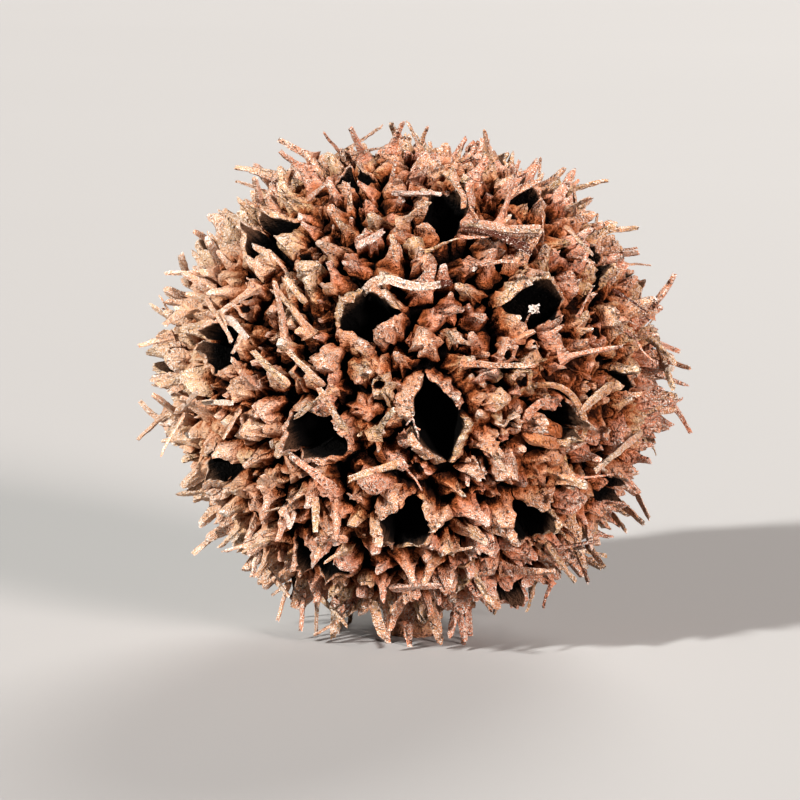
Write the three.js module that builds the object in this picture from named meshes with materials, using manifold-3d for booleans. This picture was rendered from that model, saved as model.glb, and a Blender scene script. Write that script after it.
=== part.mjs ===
// A dry, empty sweetgum seed ball, in millimetres, +Z up. It lies on its lowest spines and on the broken
// end of its stalk, with the origin in the middle of that end.
//
// The head grew as one woody piece. About forty capsules open in its surface, each a lens-shaped mouth with
// four curved valve halves standing round it. The rest is packed with pointed scales, about one in six drawn
// out into a long thin spine. Scales and mouths are one relief over the whole ball: each scale has a cell of
// its own, with a beak on one side and two lower shoulders on the other. Spines and stalk are joined on.

import * as THREE from "three";
import { ConvexHull } from "three/addons/math/ConvexHull.js";
import { mergeVertices } from "three/addons/utils/BufferGeometryUtils.js";
import Module from "manifold-3d";

const wasm = await Module();
wasm.setup();

const radians = THREE.MathUtils.degToRad;

// The whole ball, as radii from its centre. It is a little flatter than a sphere.
const reach = 15; // to the tips of the longest spines
const beakRadius = 13.55;
const shoulderRadius = 12.5;
const cleftRadius = 10.9; // to the bottom of the clefts between scales
const flatten = 0.955;
const centreHeight = 13.6; // above what the ball lies on

// Capsules. A mouth's size is that of the opening between its valves.
const capsuleCount = 38;
const mouth = { length: 3.6, width: 2.5, sites: 8, siteInset: 0.1 };
const hollow = { radius: 6.2, share: 0.24, sides: 6, floor: 5.2 }; // where it narrows, and to what share
const valve = { thickness: 0.72, bevel: 0.2, cornerRadius: 12.1, beakRadius: 13.7, spread: 0.7, notch: 0.9 };
const valveAngles = [0, 43, 75, 90].map(radians); // a mouth's corner, a middle, a beak, the lip's middle
const valveRise = [0, 0.45, 1]; // of the first three, from the corner's height to the beak's
const capsuleSpread = { starts: 200, clear: 0.4, steps: 200, push: 0.0004, power: -5 };

// Scales and spines
const latticeCount = 890; // scales that a ball without mouths would carry
const scaleSpacing = 1.56;
const scaleJitter = 0.3; // of the spacing
const mouthMargin = 1.45; // from the rim of a mouth to the middles of the scales beside it
const settling = { steps: 14, share: 0.35, insideMouth: 0.86 };
const beak = { out: [0.2, 0.52], rise: [-0.55, 0.6] };
const shoulder = { out: [0.38, 0.6], rise: [-0.45, 0.45], turn: radians(120) };
const spineShare = 0.148;
const spine = { length: [1.4, 3.6], lean: [0.7, 2.6], rootRadius: 0.3, tipRadius: 0.17, sides: 3 };
const spineRoot = { depth: 0.8, back: 0.25 }; // below the beak's tip, and back from its lean

// The broken stalk
const stalk = { radius: 1.35, footRadius: 2.1, footDepth: 1.5, sides: 12 };
const stalkSpace = { clearance: 2.9, sites: 6, siteOut: 1.2 };
const feet = { within: 4.1, past: 0.3 }; // the spines round the stalk, which reach down to what the ball lies on

// The open mouths that the photograph shows: the middle of each across and up from the middle of the ball, as
// on the shoulders' sphere before it is flattened, and the turn of its long axis from level, anticlockwise.
const viewTilt = radians(8); // how far the photograph looks down on the ball
const photographedMouths = [
  { across: -7.3, up: 7.4, turn: 35 },
  { across: -3.0, up: 10.7, turn: 0 },
  { across: 1.6, up: 8.7, turn: 95 },
  { across: -2.2, up: 3.2, turn: 10 },
  { across: 5.9, up: 3.9, turn: 8 },
  { across: -9.7, up: 1.6, turn: 50 },
  { across: -4.9, up: -2.8, turn: -40 },
  { across: 1.1, up: -2.0, turn: -75 },
  { across: -0.4, up: -7.6, turn: 75 },
  { across: 5.7, up: -7.4, turn: -60 },
  { across: -9.8, up: -4.6, turn: 10 },
  { across: -4.6, up: -9.6, turn: -45 },
  { across: 7.2, up: -2.1, turn: 60 },
  { across: 10.8, up: -0.1, turn: -15 },
  { across: 9.2, up: 6.3, turn: 70 },
  { across: 5.8, up: 9.7, turn: 30 },
  { across: 10.2, up: -5.6, turn: 15 },
];

// What each fixed draw is for, so that no two uses share one.
const drawFor = {
  capsuleOrder: 1,
  capsuleTurn: 2,
  placeAcross: 3,
  placeUp: 4,
  scaleTurn: 5,
  beakOut: 6,
  beakRise: 8,
  valveBeak: 10,
  spineHere: 12,
  spineLean: 13,
  spineLength: 14,
  shoulderOut: [21, 22],
  shoulderRise: [23, 24],
};

const right = new THREE.Vector3(1, 0, 0);
const away = new THREE.Vector3(0, 1, 0);
const up = new THREE.Vector3(0, 0, 1);
const down = up.clone().negate();

// A fixed draw from 0 to 1 for each numbered thing, one for each of its uses.
function draw(index, use) {
  const s = Math.sin(index * 12.9898 + use * 78.233) * 43758.5453;
  return s - Math.floor(s);
}

function between([low, high], share) {
  return low + (high - low) * share;
}

// Directions spread evenly over a sphere, in a spiral from the top down.
function spiralDirections(count) {
  const goldenTurn = Math.PI * (3 - Math.sqrt(5));
  return Array.from({ length: count }, (_, i) => {
    const z = 1 - (2 * i + 1) / count;
    const r = Math.sqrt(1 - z * z);
    return new THREE.Vector3(r * Math.cos(i * goldenTurn), r * Math.sin(i * goldenTurn), z);
  });
}

// Two directions square to a third, the first one level.
function tangentsOf(direction) {
  const level = new THREE.Vector3().crossVectors(up, direction).normalize();
  return [level, new THREE.Vector3().crossVectors(direction, level).normalize()];
}

// The angle at which a point lies round a direction, anticlockwise from level.
function turnRound(direction, point) {
  const [level, steep] = tangentsOf(direction);
  return Math.atan2(point.dot(steep), point.dot(level));
}

// The direction at an angle from one direction towards another that is square to it.
function turned(first, second, angle) {
  return first.clone().multiplyScalar(Math.cos(angle)).addScaledVector(second, Math.sin(angle));
}

function circle(middle, first, second, radius, sides) {
  return Array.from({ length: sides }, (_, i) => {
    return middle.clone().addScaledVector(turned(first, second, (2 * Math.PI * i) / sides), radius);
  });
}

// Each capsule's direction, with the directions of its mouth's long axis and short one.
function layOutCapsules() {
  const viewUp = new THREE.Vector3(0, Math.sin(viewTilt), Math.cos(viewTilt));
  const towardsView = new THREE.Vector3(0, -Math.cos(viewTilt), Math.sin(viewTilt));
  const seen = photographedMouths.map(({ across, up: high, turn }) => {
    const near = Math.sqrt(Math.max(0, shoulderRadius ** 2 - across ** 2 - high ** 2));
    const normal = new THREE.Vector3()
      .addScaledVector(right, across)
      .addScaledVector(viewUp, high)
      .addScaledVector(towardsView, near)
      .normalize();
    const long = turned(right, viewUp, radians(turn));
    return { normal, long: long.addScaledVector(normal, -long.dot(normal)).normalize() };
  });
  // The others start on the spiral, where no capsule or stalk is near, and push each other apart.
  const taken = [down, ...seen.map((capsule) => capsule.normal)];
  let free = spiralDirections(capsuleSpread.starts)
    .map((direction, i) => ({ direction, order: draw(i, drawFor.capsuleOrder) }))
    .filter(({ direction }) => taken.every((other) => other.angleTo(direction) > capsuleSpread.clear))
    .sort((s, t) => s.order - t.order)
    .slice(0, capsuleCount - seen.length)
    .map(({ direction }) => direction);
  for (let step = 0; step < capsuleSpread.steps; step++) {
    const all = [...taken, ...free];
    free = free.map((direction) => {
      const push = new THREE.Vector3();
      for (const other of all) {
        const apart = direction.clone().sub(other);
        if (other !== direction) push.addScaledVector(apart, apart.length() ** capsuleSpread.power);
      }
      return direction.clone().addScaledVector(push, capsuleSpread.push).normalize();
    });
  }
  const unseen = free.map((normal, i) => {
    const [level, steep] = tangentsOf(normal);
    return { normal, long: turned(level, steep, Math.PI * draw(i, drawFor.capsuleTurn)) };
  });
  return [...seen, ...unseen].map(({ normal, long }) => {
    return { normal, long, wide: new THREE.Vector3().crossVectors(normal, long) };
  });
}

const capsules = layOutCapsules();

// The middles of the scales, on the sphere of the shoulders: spiral places off the mouths, jostled until
// they keep clear of the mouths, the stalk and each other.
function layOutScales() {
  const halfLong = mouth.length / 2 + mouthMargin;
  const halfWide = mouth.width / 2 + mouthMargin;
  const insideMouth = (place, { normal, long, wide }) => {
    if (place.dot(normal) < 0) return Infinity;
    return Math.hypot(place.dot(long) / halfLong, place.dot(wide) / halfWide);
  };
  const stalkPlace = down.clone().multiplyScalar(shoulderRadius);
  const jitter = scaleJitter * scaleSpacing;
  let places = spiralDirections(latticeCount)
    .map((direction, i) => {
      const [level, steep] = tangentsOf(direction);
      return direction
        .multiplyScalar(shoulderRadius)
        .addScaledVector(level, (2 * draw(i, drawFor.placeAcross) - 1) * jitter)
        .addScaledVector(steep, (2 * draw(i, drawFor.placeUp) - 1) * jitter);
    })
    .filter((place) => capsules.every((capsule) => insideMouth(place, capsule) > settling.insideMouth))
    .filter((place) => place.distanceTo(stalkPlace) > stalkSpace.clearance);
  for (let step = 0; step < settling.steps; step++) {
    places = places.map((place) => {
      const moved = place.clone();
      for (const other of places) {
        const gap = place.distanceTo(other);
        if (other === place || gap >= scaleSpacing) continue;
        moved.addScaledVector(place.clone().sub(other), (settling.share * (scaleSpacing - gap)) / gap);
      }
      for (const capsule of capsules) {
        const outwards = Math.max(0, 1 / insideMouth(moved, capsule) - 1);
        moved.addScaledVector(capsule.long, moved.dot(capsule.long) * outwards);
        moved.addScaledVector(capsule.wide, moved.dot(capsule.wide) * outwards);
      }
      return moved.setLength(shoulderRadius);
    });
  }
  return places;
}

const scales = layOutScales();

// A closed mesh as a solid that can be joined and cut.
function solidOf(geometry) {
  const bare = geometry.clone();
  bare.deleteAttribute("normal");
  bare.deleteAttribute("uv");
  const merged = mergeVertices(bare, 1e-4);
  return new wasm.Manifold(
    new wasm.Mesh({
      numProp: 3,
      vertProperties: new Float32Array(merged.attributes.position.array),
      triVerts: new Uint32Array(merged.index.array),
    }),
  );
}

function geometryOf(solid) {
  const mesh = solid.getMesh();
  const geometry = new THREE.BufferGeometry();
  geometry.setAttribute("position", new THREE.BufferAttribute(new Float32Array(mesh.vertProperties), 3));
  geometry.setIndex(new THREE.BufferAttribute(new Uint32Array(mesh.triVerts), 1));
  geometry.computeVertexNormals();
  return geometry;
}

// A closed skin over rings of points, each anticlockwise as seen from the last one, with flat ends.
function loft(rings) {
  const sides = rings[0].length;
  const index = [];
  rings.slice(1).forEach((_, k) => {
    for (let i = 0; i < sides; i++) {
      const a = k * sides + i;
      const b = k * sides + ((i + 1) % sides);
      index.push(a, b, b + sides, a, b + sides, a + sides);
    }
  });
  const last = (rings.length - 1) * sides;
  for (let i = 1; i < sides - 1; i++) {
    index.push(0, i + 1, i);
    index.push(last, last + i, last + i + 1);
  }
  const geometry = new THREE.BufferGeometry().setFromPoints(rings.flat());
  geometry.setIndex(index);
  return geometry;
}

// Triangles between two loops of corners, both anticlockwise and in order of angle, one round the other.
function zip(outer, inner, index) {
  const angleAt = (loop, k) => loop[k % loop.length].angle + 2 * Math.PI * Math.floor(k / loop.length);
  const pointAt = (loop, k) => loop[k % loop.length].point;
  let i = 0;
  let j = 0;
  while (i < outer.length || j < inner.length) {
    const outerFirst = angleAt(outer, i + 1) < angleAt(inner, j + 1);
    if (i < outer.length && (outerFirst || j === inner.length)) {
      index.push(pointAt(outer, i), pointAt(outer, i + 1), pointAt(inner, j));
      i++;
    } else {
      index.push(pointAt(outer, i), pointAt(inner, j + 1), pointAt(inner, j));
      j++;
    }
  }
}

// Where a scale's beak and shoulders stand.
function scaleTop(number) {
  const place = scales[number];
  const [level, steep] = tangentsOf(place);
  const turn = 2 * Math.PI * draw(number, drawFor.scaleTurn);
  const at = (angle, out, high) => {
    return place.clone().addScaledVector(turned(level, steep, angle), out).setLength(high);
  };
  const beakHigh = beakRadius + between(beak.rise, draw(number, drawFor.beakRise));
  const shoulders = [-1, 1].map((hand, i) => {
    const out = between(shoulder.out, draw(number, drawFor.shoulderOut[i]));
    const high = shoulderRadius + between(shoulder.rise, draw(number, drawFor.shoulderRise[i]));
    return at(turn + hand * shoulder.turn, out, high);
  });
  return {
    lean: turned(level, steep, turn),
    tip: at(turn, between(beak.out, draw(number, drawFor.beakOut)), beakHigh),
    shoulders,
  };
}

// A scale over its cell, with a top of three corners.
function addScale(cell, number, points, index) {
  const { tip, shoulders } = scaleTop(number);
  const loopOf = (corners) => {
    const loop = corners.map((point) => ({ point, angle: turnRound(scales[number], points[point]) }));
    return loop.sort((p, q) => p.angle - q.angle);
  };
  const top = loopOf([tip, ...shoulders].map((point) => points.push(point) - 1));
  zip(loopOf(cell), top, index);
  index.push(...top.map((corner) => corner.point));
}

// A point over a mouth's rim, at an angle round it, a height over the centre, and a distance out of it.
function rimPoint({ normal, long, wide }, angle, radius, outwards) {
  return new THREE.Vector3()
    .addScaledVector(long, Math.cos(angle) / mouth.length)
    .addScaledVector(wide, Math.sin(angle) / mouth.width)
    .setLength(outwards)
    .addScaledVector(long, 0.5 * mouth.length * Math.cos(angle))
    .addScaledVector(wide, 0.5 * mouth.width * Math.sin(angle))
    .addScaledVector(normal, radius);
}

// The stops along a mouth's rim, anticlockwise: each one's angle, and the height of its valve half there.
function rimStops(capsule) {
  return [0, 1, 2, 3].flatMap((quarter) => {
    const spread = (2 * draw(4 * capsule + quarter, drawFor.valveBeak) - 1) * valve.spread;
    const beakHigh = valve.beakRadius + spread;
    const heights = valveRise.map((rise) => THREE.MathUtils.lerp(valve.cornerRadius, beakHigh, rise));
    heights.push(beakHigh - valve.notch);
    const start = (quarter * Math.PI) / 2;
    const forwards = valveAngles.map((angle, k) => ({ angle: start + angle, high: heights[k] }));
    if (quarter % 2 === 0) return forwards;
    const end = start + Math.PI / 2;
    const backwards = valveAngles.map((angle, k) => ({ angle: end - angle, high: heights[k] }));
    return backwards.slice(1, 3).reverse();
  });
}

// A mouth inside its outline: up the outside of the valves, over their lips and down into the capsule.
function addMouth(outline, number, points, index) {
  const capsule = capsules[number];
  const { normal, long, wide } = capsule;
  const angleOf = (point) => {
    const angle = Math.atan2(point.dot(wide) / mouth.width, point.dot(long) / mouth.length);
    return angle < 0 ? angle + 2 * Math.PI : angle;
  };
  const outer = outline.map((point) => ({ point, angle: angleOf(points[point]) }));
  const first = outer.reduce((best, corner, i) => (corner.angle < outer[best].angle ? i : best), 0);
  outer.push(...outer.splice(0, first));
  const ring = (stops, placeOf) => {
    return stops.map((stop) => ({ angle: stop.angle, point: points.push(placeOf(stop)) - 1 }));
  };
  const stops = rimStops(number);
  const outerLip = ring(stops, ({ angle, high }) => {
    return rimPoint(capsule, angle, high - valve.bevel, valve.thickness);
  });
  const innerLip = ring(stops, ({ angle, high }) => rimPoint(capsule, angle, high, 0));
  const narrowStops = [...Array(hollow.sides).keys()].map((i) => {
    return { angle: (2 * Math.PI * i) / hollow.sides };
  });
  const inside = ring(narrowStops, ({ angle }) => {
    return new THREE.Vector3()
      .addScaledVector(long, hollow.share * mouth.length * Math.cos(angle))
      .addScaledVector(wide, hollow.share * mouth.width * Math.sin(angle))
      .addScaledVector(normal, hollow.radius);
  });
  zip(outer, outerLip, index);
  zip(outerLip, innerLip, index);
  zip(innerLip, inside, index);
  const floor = points.push(normal.clone().multiplyScalar(hollow.floor)) - 1;
  inside.forEach(({ point }, i) => index.push(point, inside[(i + 1) % inside.length].point, floor));
}

// The loop of corners round several cells that lie side by side.
function outlineOf(cells) {
  const edges = cells.flatMap((cell) => cell.map((p, i) => [p, cell[(i + 1) % cell.length]]));
  const backwards = new Set(edges.map(([p, q]) => `${q} ${p}`));
  const next = new Map(edges.filter(([p, q]) => !backwards.has(`${p} ${q}`)));
  const loop = [next.keys().next().value];
  while (next.get(loop.at(-1)) !== loop[0]) loop.push(next.get(loop.at(-1)));
  return loop;
}

// The relief of scales and mouths. Each scale, each rim and the stalk keep their places by the cells of
// their sites, and the corners of the cells lie at the bottom of the clefts.
function makeRelief() {
  const rimSites = capsules.flatMap((capsule) =>
    Array.from({ length: mouth.sites }, (_, i) => {
      return rimPoint(capsule, (2 * Math.PI * i) / mouth.sites, shoulderRadius, -mouth.siteInset);
    }),
  );
  const stalkPlace = down.clone().multiplyScalar(shoulderRadius);
  const stalkSites = circle(stalkPlace, right, away, stalkSpace.siteOut, stalkSpace.sites);
  const sites = [...scales, ...rimSites, ...stalkSites].map((site) => site.clone().normalize());
  const numberOf = new Map(sites.map((site, i) => [site, i]));
  const cells = sites.map(() => []);
  const points = [];
  const index = [];
  for (const face of new ConvexHull().setFromPoints(sites).faces) {
    const corner = points.push(face.normal.clone().multiplyScalar(cleftRadius)) - 1;
    for (let k = 0; k < 3; k++) cells[numberOf.get(face.getEdge(k).head().point)].push(corner);
  }
  cells.forEach((cell, number) => {
    cell.sort((p, q) => turnRound(sites[number], points[p]) - turnRound(sites[number], points[q]));
  });
  scales.forEach((_, number) => addScale(cells[number], number, points, index));
  capsules.forEach((_, number) => {
    const first = scales.length + number * mouth.sites;
    addMouth(outlineOf(cells.slice(first, first + mouth.sites)), number, points, index);
  });
  for (const cell of cells.slice(-stalkSpace.sites)) {
    for (let i = 1; i < cell.length - 1; i++) index.push(cell[0], cell[i], cell[i + 1]);
  }
  const geometry = new THREE.BufferGeometry().setFromPoints(points);
  geometry.setIndex(index);
  return geometry;
}

// The scales round the stalk, whose spines steady the ball.
function isFoot(number) {
  return scales[number].distanceTo(down.clone().multiplyScalar(shoulderRadius)) < feet.within;
}

// Where a scale's spine ends, leaning over its neighbours or standing on what the ball lies on.
function spineEnd(number) {
  const { tip, lean } = scaleTop(number);
  if (isFoot(number)) return tip.setZ(-centreHeight / flatten - feet.past);
  const slope = between(spine.lean, draw(number, drawFor.spineLean));
  const direction = tip.clone().normalize().addScaledVector(lean, slope).normalize();
  let length = between(spine.length, draw(number, drawFor.spineLength));
  while (tip.clone().addScaledVector(direction, length).length() > reach) length -= 0.1;
  return tip.addScaledVector(direction, length);
}

// A thin spine drawn out of a scale's beak.
function makeSpine(number) {
  const { tip, lean } = scaleTop(number);
  const end = spineEnd(number);
  const root = tip.setLength(tip.length() - spineRoot.depth).addScaledVector(lean, -spineRoot.back);
  const [first, second] = tangentsOf(end.clone().sub(root));
  return loft([
    circle(root, first, second, spine.rootRadius, spine.sides),
    circle(end, first, second, spine.tipRadius, spine.sides),
  ]);
}

// The stub of the stalk, flared where it leaves the head.
function makeStalk() {
  const ring = (radius, low) => {
    return circle(down.clone().multiplyScalar(low), away, right, radius, stalk.sides);
  };
  return loft([
    ring(stalk.footRadius, cleftRadius - stalk.footDepth),
    ring(stalk.footRadius, cleftRadius),
    ring(stalk.radius, shoulderRadius),
    ring(stalk.radius, reach),
  ]);
}

// The whole head, worn level where it touches what it lies on.
function makeHead() {
  const spined = [...scales.keys()].filter((number) => {
    return isFoot(number) || draw(number, drawFor.spineHere) < spineShare;
  });
  const pieces = [makeRelief(), makeStalk(), ...spined.map(makeSpine)];
  const below = new THREE.BoxGeometry(4 * reach, 4 * reach, 2 * reach);
  below.translate(0, 0, -reach - centreHeight / flatten);
  const geometry = geometryOf(wasm.Manifold.union(pieces.map(solidOf)).subtract(solidOf(below)));
  return geometry.scale(1, 1, flatten).translate(0, 0, centreHeight);
}

const wood = new THREE.MeshStandardMaterial({ color: 0xa9714f, roughness: 0.85, metalness: 0 });
const head = new THREE.Mesh(makeHead(), wood);
head.name = "seed_head";

const seedBall = new THREE.Group();
seedBall.add(head);

export default seedBall;
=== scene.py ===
import math

import bmesh
import bpy
import numpy as np
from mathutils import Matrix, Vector, noise


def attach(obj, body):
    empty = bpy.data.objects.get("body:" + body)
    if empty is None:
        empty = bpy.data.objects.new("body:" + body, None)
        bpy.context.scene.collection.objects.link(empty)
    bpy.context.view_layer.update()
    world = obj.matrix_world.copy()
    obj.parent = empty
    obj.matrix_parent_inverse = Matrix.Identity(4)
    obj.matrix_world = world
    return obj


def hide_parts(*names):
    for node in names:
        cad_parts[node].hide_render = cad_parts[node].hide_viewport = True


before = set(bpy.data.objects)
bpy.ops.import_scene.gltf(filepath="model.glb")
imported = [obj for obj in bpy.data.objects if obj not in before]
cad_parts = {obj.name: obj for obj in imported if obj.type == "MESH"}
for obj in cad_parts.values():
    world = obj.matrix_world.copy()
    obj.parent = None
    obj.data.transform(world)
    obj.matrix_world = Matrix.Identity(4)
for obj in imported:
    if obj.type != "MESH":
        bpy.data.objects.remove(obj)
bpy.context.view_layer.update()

# Shapes are worked out in millimetres from the middle of an even ball, then flattened, lifted
# and made metres.
ball = {
    "reach": 15.0,
    "beakRadius": 13.55,
    "shoulderRadius": 12.5,
    "cleftRadius": 10.9,
    "flatten": 0.955,
    "centreHeight": 13.6,
}
right, away, up = np.eye(3)
down = -up
noise.seed_set(7)  # without it the noise vectors are other ones each time


def unit(v):
    return v / np.linalg.norm(v, axis=-1, keepdims=True)


def dot(a, b):
    return (a * b).sum(-1)


def blend(a, b, share):
    return a + (b - a) * share


def ease(low, high, x):  # 0 below low, 1 above high, smooth between
    s = np.clip((x - low) / (high - low), 0, 1)
    return s * s * (3 - 2 * s)


def draw(number, use):  # a fixed draw from 0 to 1 for each numbered thing and use
    s = np.sin(np.asarray(number) * 12.9898 + use * 78.233) * 43758.5453
    return s - np.floor(s)


def spiralDirections(count):
    i = np.arange(count)
    z = 1 - (2 * i + 1) / count
    r = np.sqrt(1 - z * z)
    angle = i * math.pi * (3 - math.sqrt(5))
    return np.stack([r * np.cos(angle), r * np.sin(angle), z], 1)


def tangentsOf(directions):
    level = unit(np.cross(up, directions))
    return level, unit(np.cross(directions, level))


def turned(first, second, angle):
    angle = np.asarray(angle)[..., None]
    return first * np.cos(angle) + second * np.sin(angle)


def swayOf(points, size, seed):  # smooth noise vectors, about one wave in each size
    offset = Vector((seed * 17.3, seed * 5.9, seed * 11.1))
    flat = points.reshape(-1, 3) / size
    made = [noise.noise_vector(Vector(p) + offset) for p in flat.tolist()]
    return np.array(made).reshape(points.shape)


# Where the capsules and the scales lie, by the same rules as the solid.
capsuleRules = {
    "count": 38,
    "length": 3.6,
    "width": 2.5,
    "starts": 200,
    "clear": 0.4,
    "steps": 200,
    "push": 0.0004,
    "power": -5,
    "viewTilt": 8,
    "unseen": ((0.75, 1.05), (0.55, 1.0)),  # how much longer and wider the others are
    "seen": [  # across and up from the middle of the ball, turn, how much longer and wider than the solid's
        (-7.3, 7.4, 35, 0.95, 0.95),
        (-3.0, 10.7, 0, 0.6, 0.7),
        (1.6, 8.7, 95, 1.0, 0.85),
        (-2.2, 3.2, 10, 0.9, 1.0),
        (5.9, 3.9, 8, 0.95, 0.95),
        (-9.7, 1.6, 50, 0.85, 0.9),
        (-4.9, -2.8, -40, 1.0, 1.0),
        (1.1, -2.0, -75, 1.3, 1.0),
        (-0.4, -7.6, 75, 1.0, 1.1),
        (5.7, -7.4, -60, 0.95, 0.95),
        (-9.8, -4.6, 10, 0.8, 0.8),
        (-4.6, -9.6, -45, 1.0, 1.0),
        (7.2, -2.1, 60, 0.7, 0.7),
        (10.8, -0.1, -15, 0.8, 0.45),
        (9.2, 6.3, 70, 0.85, 0.55),
        (5.8, 9.7, 30, 0.7, 0.6),
        (10.2, -5.6, 15, 0.65, 0.5),
    ],
}
scaleRules = {
    "lattice": 890,
    "spacing": 1.56,
    "jitter": 0.3,
    "mouthMargin": 1.45,
    "settleSteps": 14,
    "settleShare": 0.35,
    "insideMouth": 0.86,
    "stalkClearance": 2.9,
}


def layOutCapsules():
    rules = capsuleRules
    tilt = math.radians(rules["viewTilt"])
    viewUp = np.array([0, math.sin(tilt), math.cos(tilt)])
    towardsView = np.array([0, -math.cos(tilt), math.sin(tilt)])
    seen = np.array(rules["seen"])
    across, high, turn = seen[:, 0], seen[:, 1], np.radians(seen[:, 2])
    near = np.sqrt(np.maximum(0, ball["shoulderRadius"] ** 2 - across**2 - high**2))
    normals = unit(np.outer(across, right) + np.outer(high, viewUp) + np.outer(near, towardsView))
    longs = turned(right, viewUp, turn)
    longs = unit(longs - normals * dot(longs, normals)[:, None])
    taken = np.vstack([down, normals])
    starts = spiralDirections(rules["starts"])
    clear = (np.arccos(np.clip(starts @ taken.T, -1, 1)) > rules["clear"]).all(1)
    candidates = np.flatnonzero(clear)
    order = np.argsort(draw(candidates, 1), kind="stable")
    free = starts[candidates[order][: rules["count"] - len(seen)]]
    for _ in range(rules["steps"]):
        apart = free[:, None] - np.vstack([taken, free])[None]
        gap = np.linalg.norm(apart, axis=2)
        weight = np.where(gap > 1e-12, np.maximum(gap, 1e-12) ** rules["power"], 0)
        free = unit(free + rules["push"] * (apart * weight[..., None]).sum(1))
    level, steep = tangentsOf(free)
    freeLongs = turned(level, steep, math.pi * draw(np.arange(len(free)), 2))
    normals, longs = np.vstack([normals, free]), np.vstack([longs, freeLongs])
    others = np.arange(len(seen), rules["count"])
    sizes = [blend(*ends, draw(others, 107 + k)) for k, ends in enumerate(rules["unseen"])]
    sizes = np.vstack([seen[:, 3:], np.stack(sizes, 1)])
    return {"normal": normals, "long": longs, "wide": np.cross(normals, longs), "size": sizes}


capsules = layOutCapsules()


def insideMouth(places, halfLong, halfWide):  # for each place and capsule, 1 on the ellipse and more outside
    x, y = places @ capsules["long"].T / halfLong, places @ capsules["wide"].T / halfWide
    return np.where(places @ capsules["normal"].T < 0, np.inf, np.hypot(x, y))


def layOutScales():
    rules, shoulder = scaleRules, ball["shoulderRadius"]
    halfLong = capsuleRules["length"] / 2 + rules["mouthMargin"]
    halfWide = capsuleRules["width"] / 2 + rules["mouthMargin"]
    directions = spiralDirections(rules["lattice"])
    i = np.arange(len(directions))
    level, steep = tangentsOf(directions)
    jitter = rules["jitter"] * rules["spacing"]
    places = directions * shoulder
    places = places + level * ((2 * draw(i, 3) - 1) * jitter)[:, None]
    places = places + steep * ((2 * draw(i, 4) - 1) * jitter)[:, None]
    places = places[(insideMouth(places, halfLong, halfWide) > rules["insideMouth"]).all(1)]
    places = places[np.linalg.norm(places - down * shoulder, axis=1) > rules["stalkClearance"]]
    for _ in range(rules["settleSteps"]):
        apart = places[:, None] - places[None]
        gap = np.linalg.norm(apart, axis=2)
        close = (gap < rules["spacing"]) & (gap > 0)
        share = rules["settleShare"] * (rules["spacing"] - gap) / np.where(gap > 0, gap, 1)
        share = np.where(close, share, 0)
        moved = places + (apart * share[..., None]).sum(1)
        for c in range(capsuleRules["count"]):
            long, wide, normal = capsules["long"][c], capsules["wide"][c], capsules["normal"][c]
            inside = np.hypot(moved @ long / halfLong, moved @ wide / halfWide)
            inside = np.where(moved @ normal < 0, np.inf, inside)
            outwards = np.maximum(0, 1 / inside - 1)
            moved = moved + long * (moved @ long * outwards)[:, None]
            moved = moved + wide * (moved @ wide * outwards)[:, None]
        places = unit(moved) * shoulder
    return places


scalePlaces = layOutScales()
scaleNumbers = np.arange(len(scalePlaces))
print("scales:", len(scalePlaces), "capsules:", len(capsules["normal"]))


# The camera, and where its picture's points lie on the ball.
cameraRules = {
    "elevation": 8,
    "distance": 0.217,
    "lens": 185,
    "sensor": 36,
    "pixels": 800,
    "across": -0.00069,
    "up": -0.00106,
    "clip": (0.01, 10),
}


def cameraFrame():
    tilt = math.radians(cameraRules["elevation"])
    back = np.array([0, -math.cos(tilt), math.sin(tilt)])
    viewUp = np.array([0, math.sin(tilt), math.cos(tilt)])
    aim = np.array([cameraRules["across"], 0, ball["centreHeight"] * 0.001]) + viewUp * cameraRules["up"]
    return aim + back * cameraRules["distance"], back, viewUp


def makeCamera():
    place, back, _ = cameraFrame()
    data = bpy.data.cameras.new("camera")
    data.lens, data.sensor_width = cameraRules["lens"], cameraRules["sensor"]
    data.clip_start, data.clip_end = cameraRules["clip"]
    camera = bpy.data.objects.new("camera", data)
    camera.location = Vector(place)
    camera.rotation_mode = "QUATERNION"
    camera.rotation_quaternion = Vector(back).to_track_quat("Z", "Y")
    bpy.context.collection.objects.link(camera)
    bpy.context.scene.camera = camera


def towardsCamera():
    return unit(cameraFrame()[0] * 1000 - up * ball["centreHeight"])


def nearSide(c, out):  # 0 to 1, how far a direction out of a photographed mouth points to the camera
    towards = towardsCamera()
    across = towards - capsules["normal"][c] * (towards @ capsules["normal"][c])
    return np.maximum(0, out @ across) * (c < len(capsuleRules["seen"]))


def onBall(x, y, radius):  # where the picture's point x, y meets a sphere round the middle, or comes nearest
    rules = cameraRules
    place, back, viewUp = cameraFrame()
    wide = rules["sensor"] / rules["lens"] / rules["pixels"]
    x, y, radius = np.broadcast_arrays(x, y, radius)
    half = rules["pixels"] / 2
    ray = right * ((x - half) * wide)[..., None] + viewUp * ((half - y) * wide)[..., None] - back
    squash = np.array([1, 1, ball["flatten"]])
    start = (place * 1000 - up * ball["centreHeight"]) / squash
    ray = unit(ray / squash)
    nearest = -(ray @ start)
    past = radius**2 - (start @ start - nearest**2)
    return start + ray * (nearest - np.sqrt(np.maximum(past, 0)))[..., None]


# Meshes.
creaseAngle = 34  # edges sharper than this stay sharp
skinValues = ("rise", "ridge", "pale", "shade", "inner", "warm", "dark")  # what the husk's material reads


def placed(points):
    points = points * np.array([1, 1, ball["flatten"]]) + np.array([0, 0, ball["centreHeight"]])
    points[..., 2] = np.maximum(points[..., 2], 0)
    return points * 0.001


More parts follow.
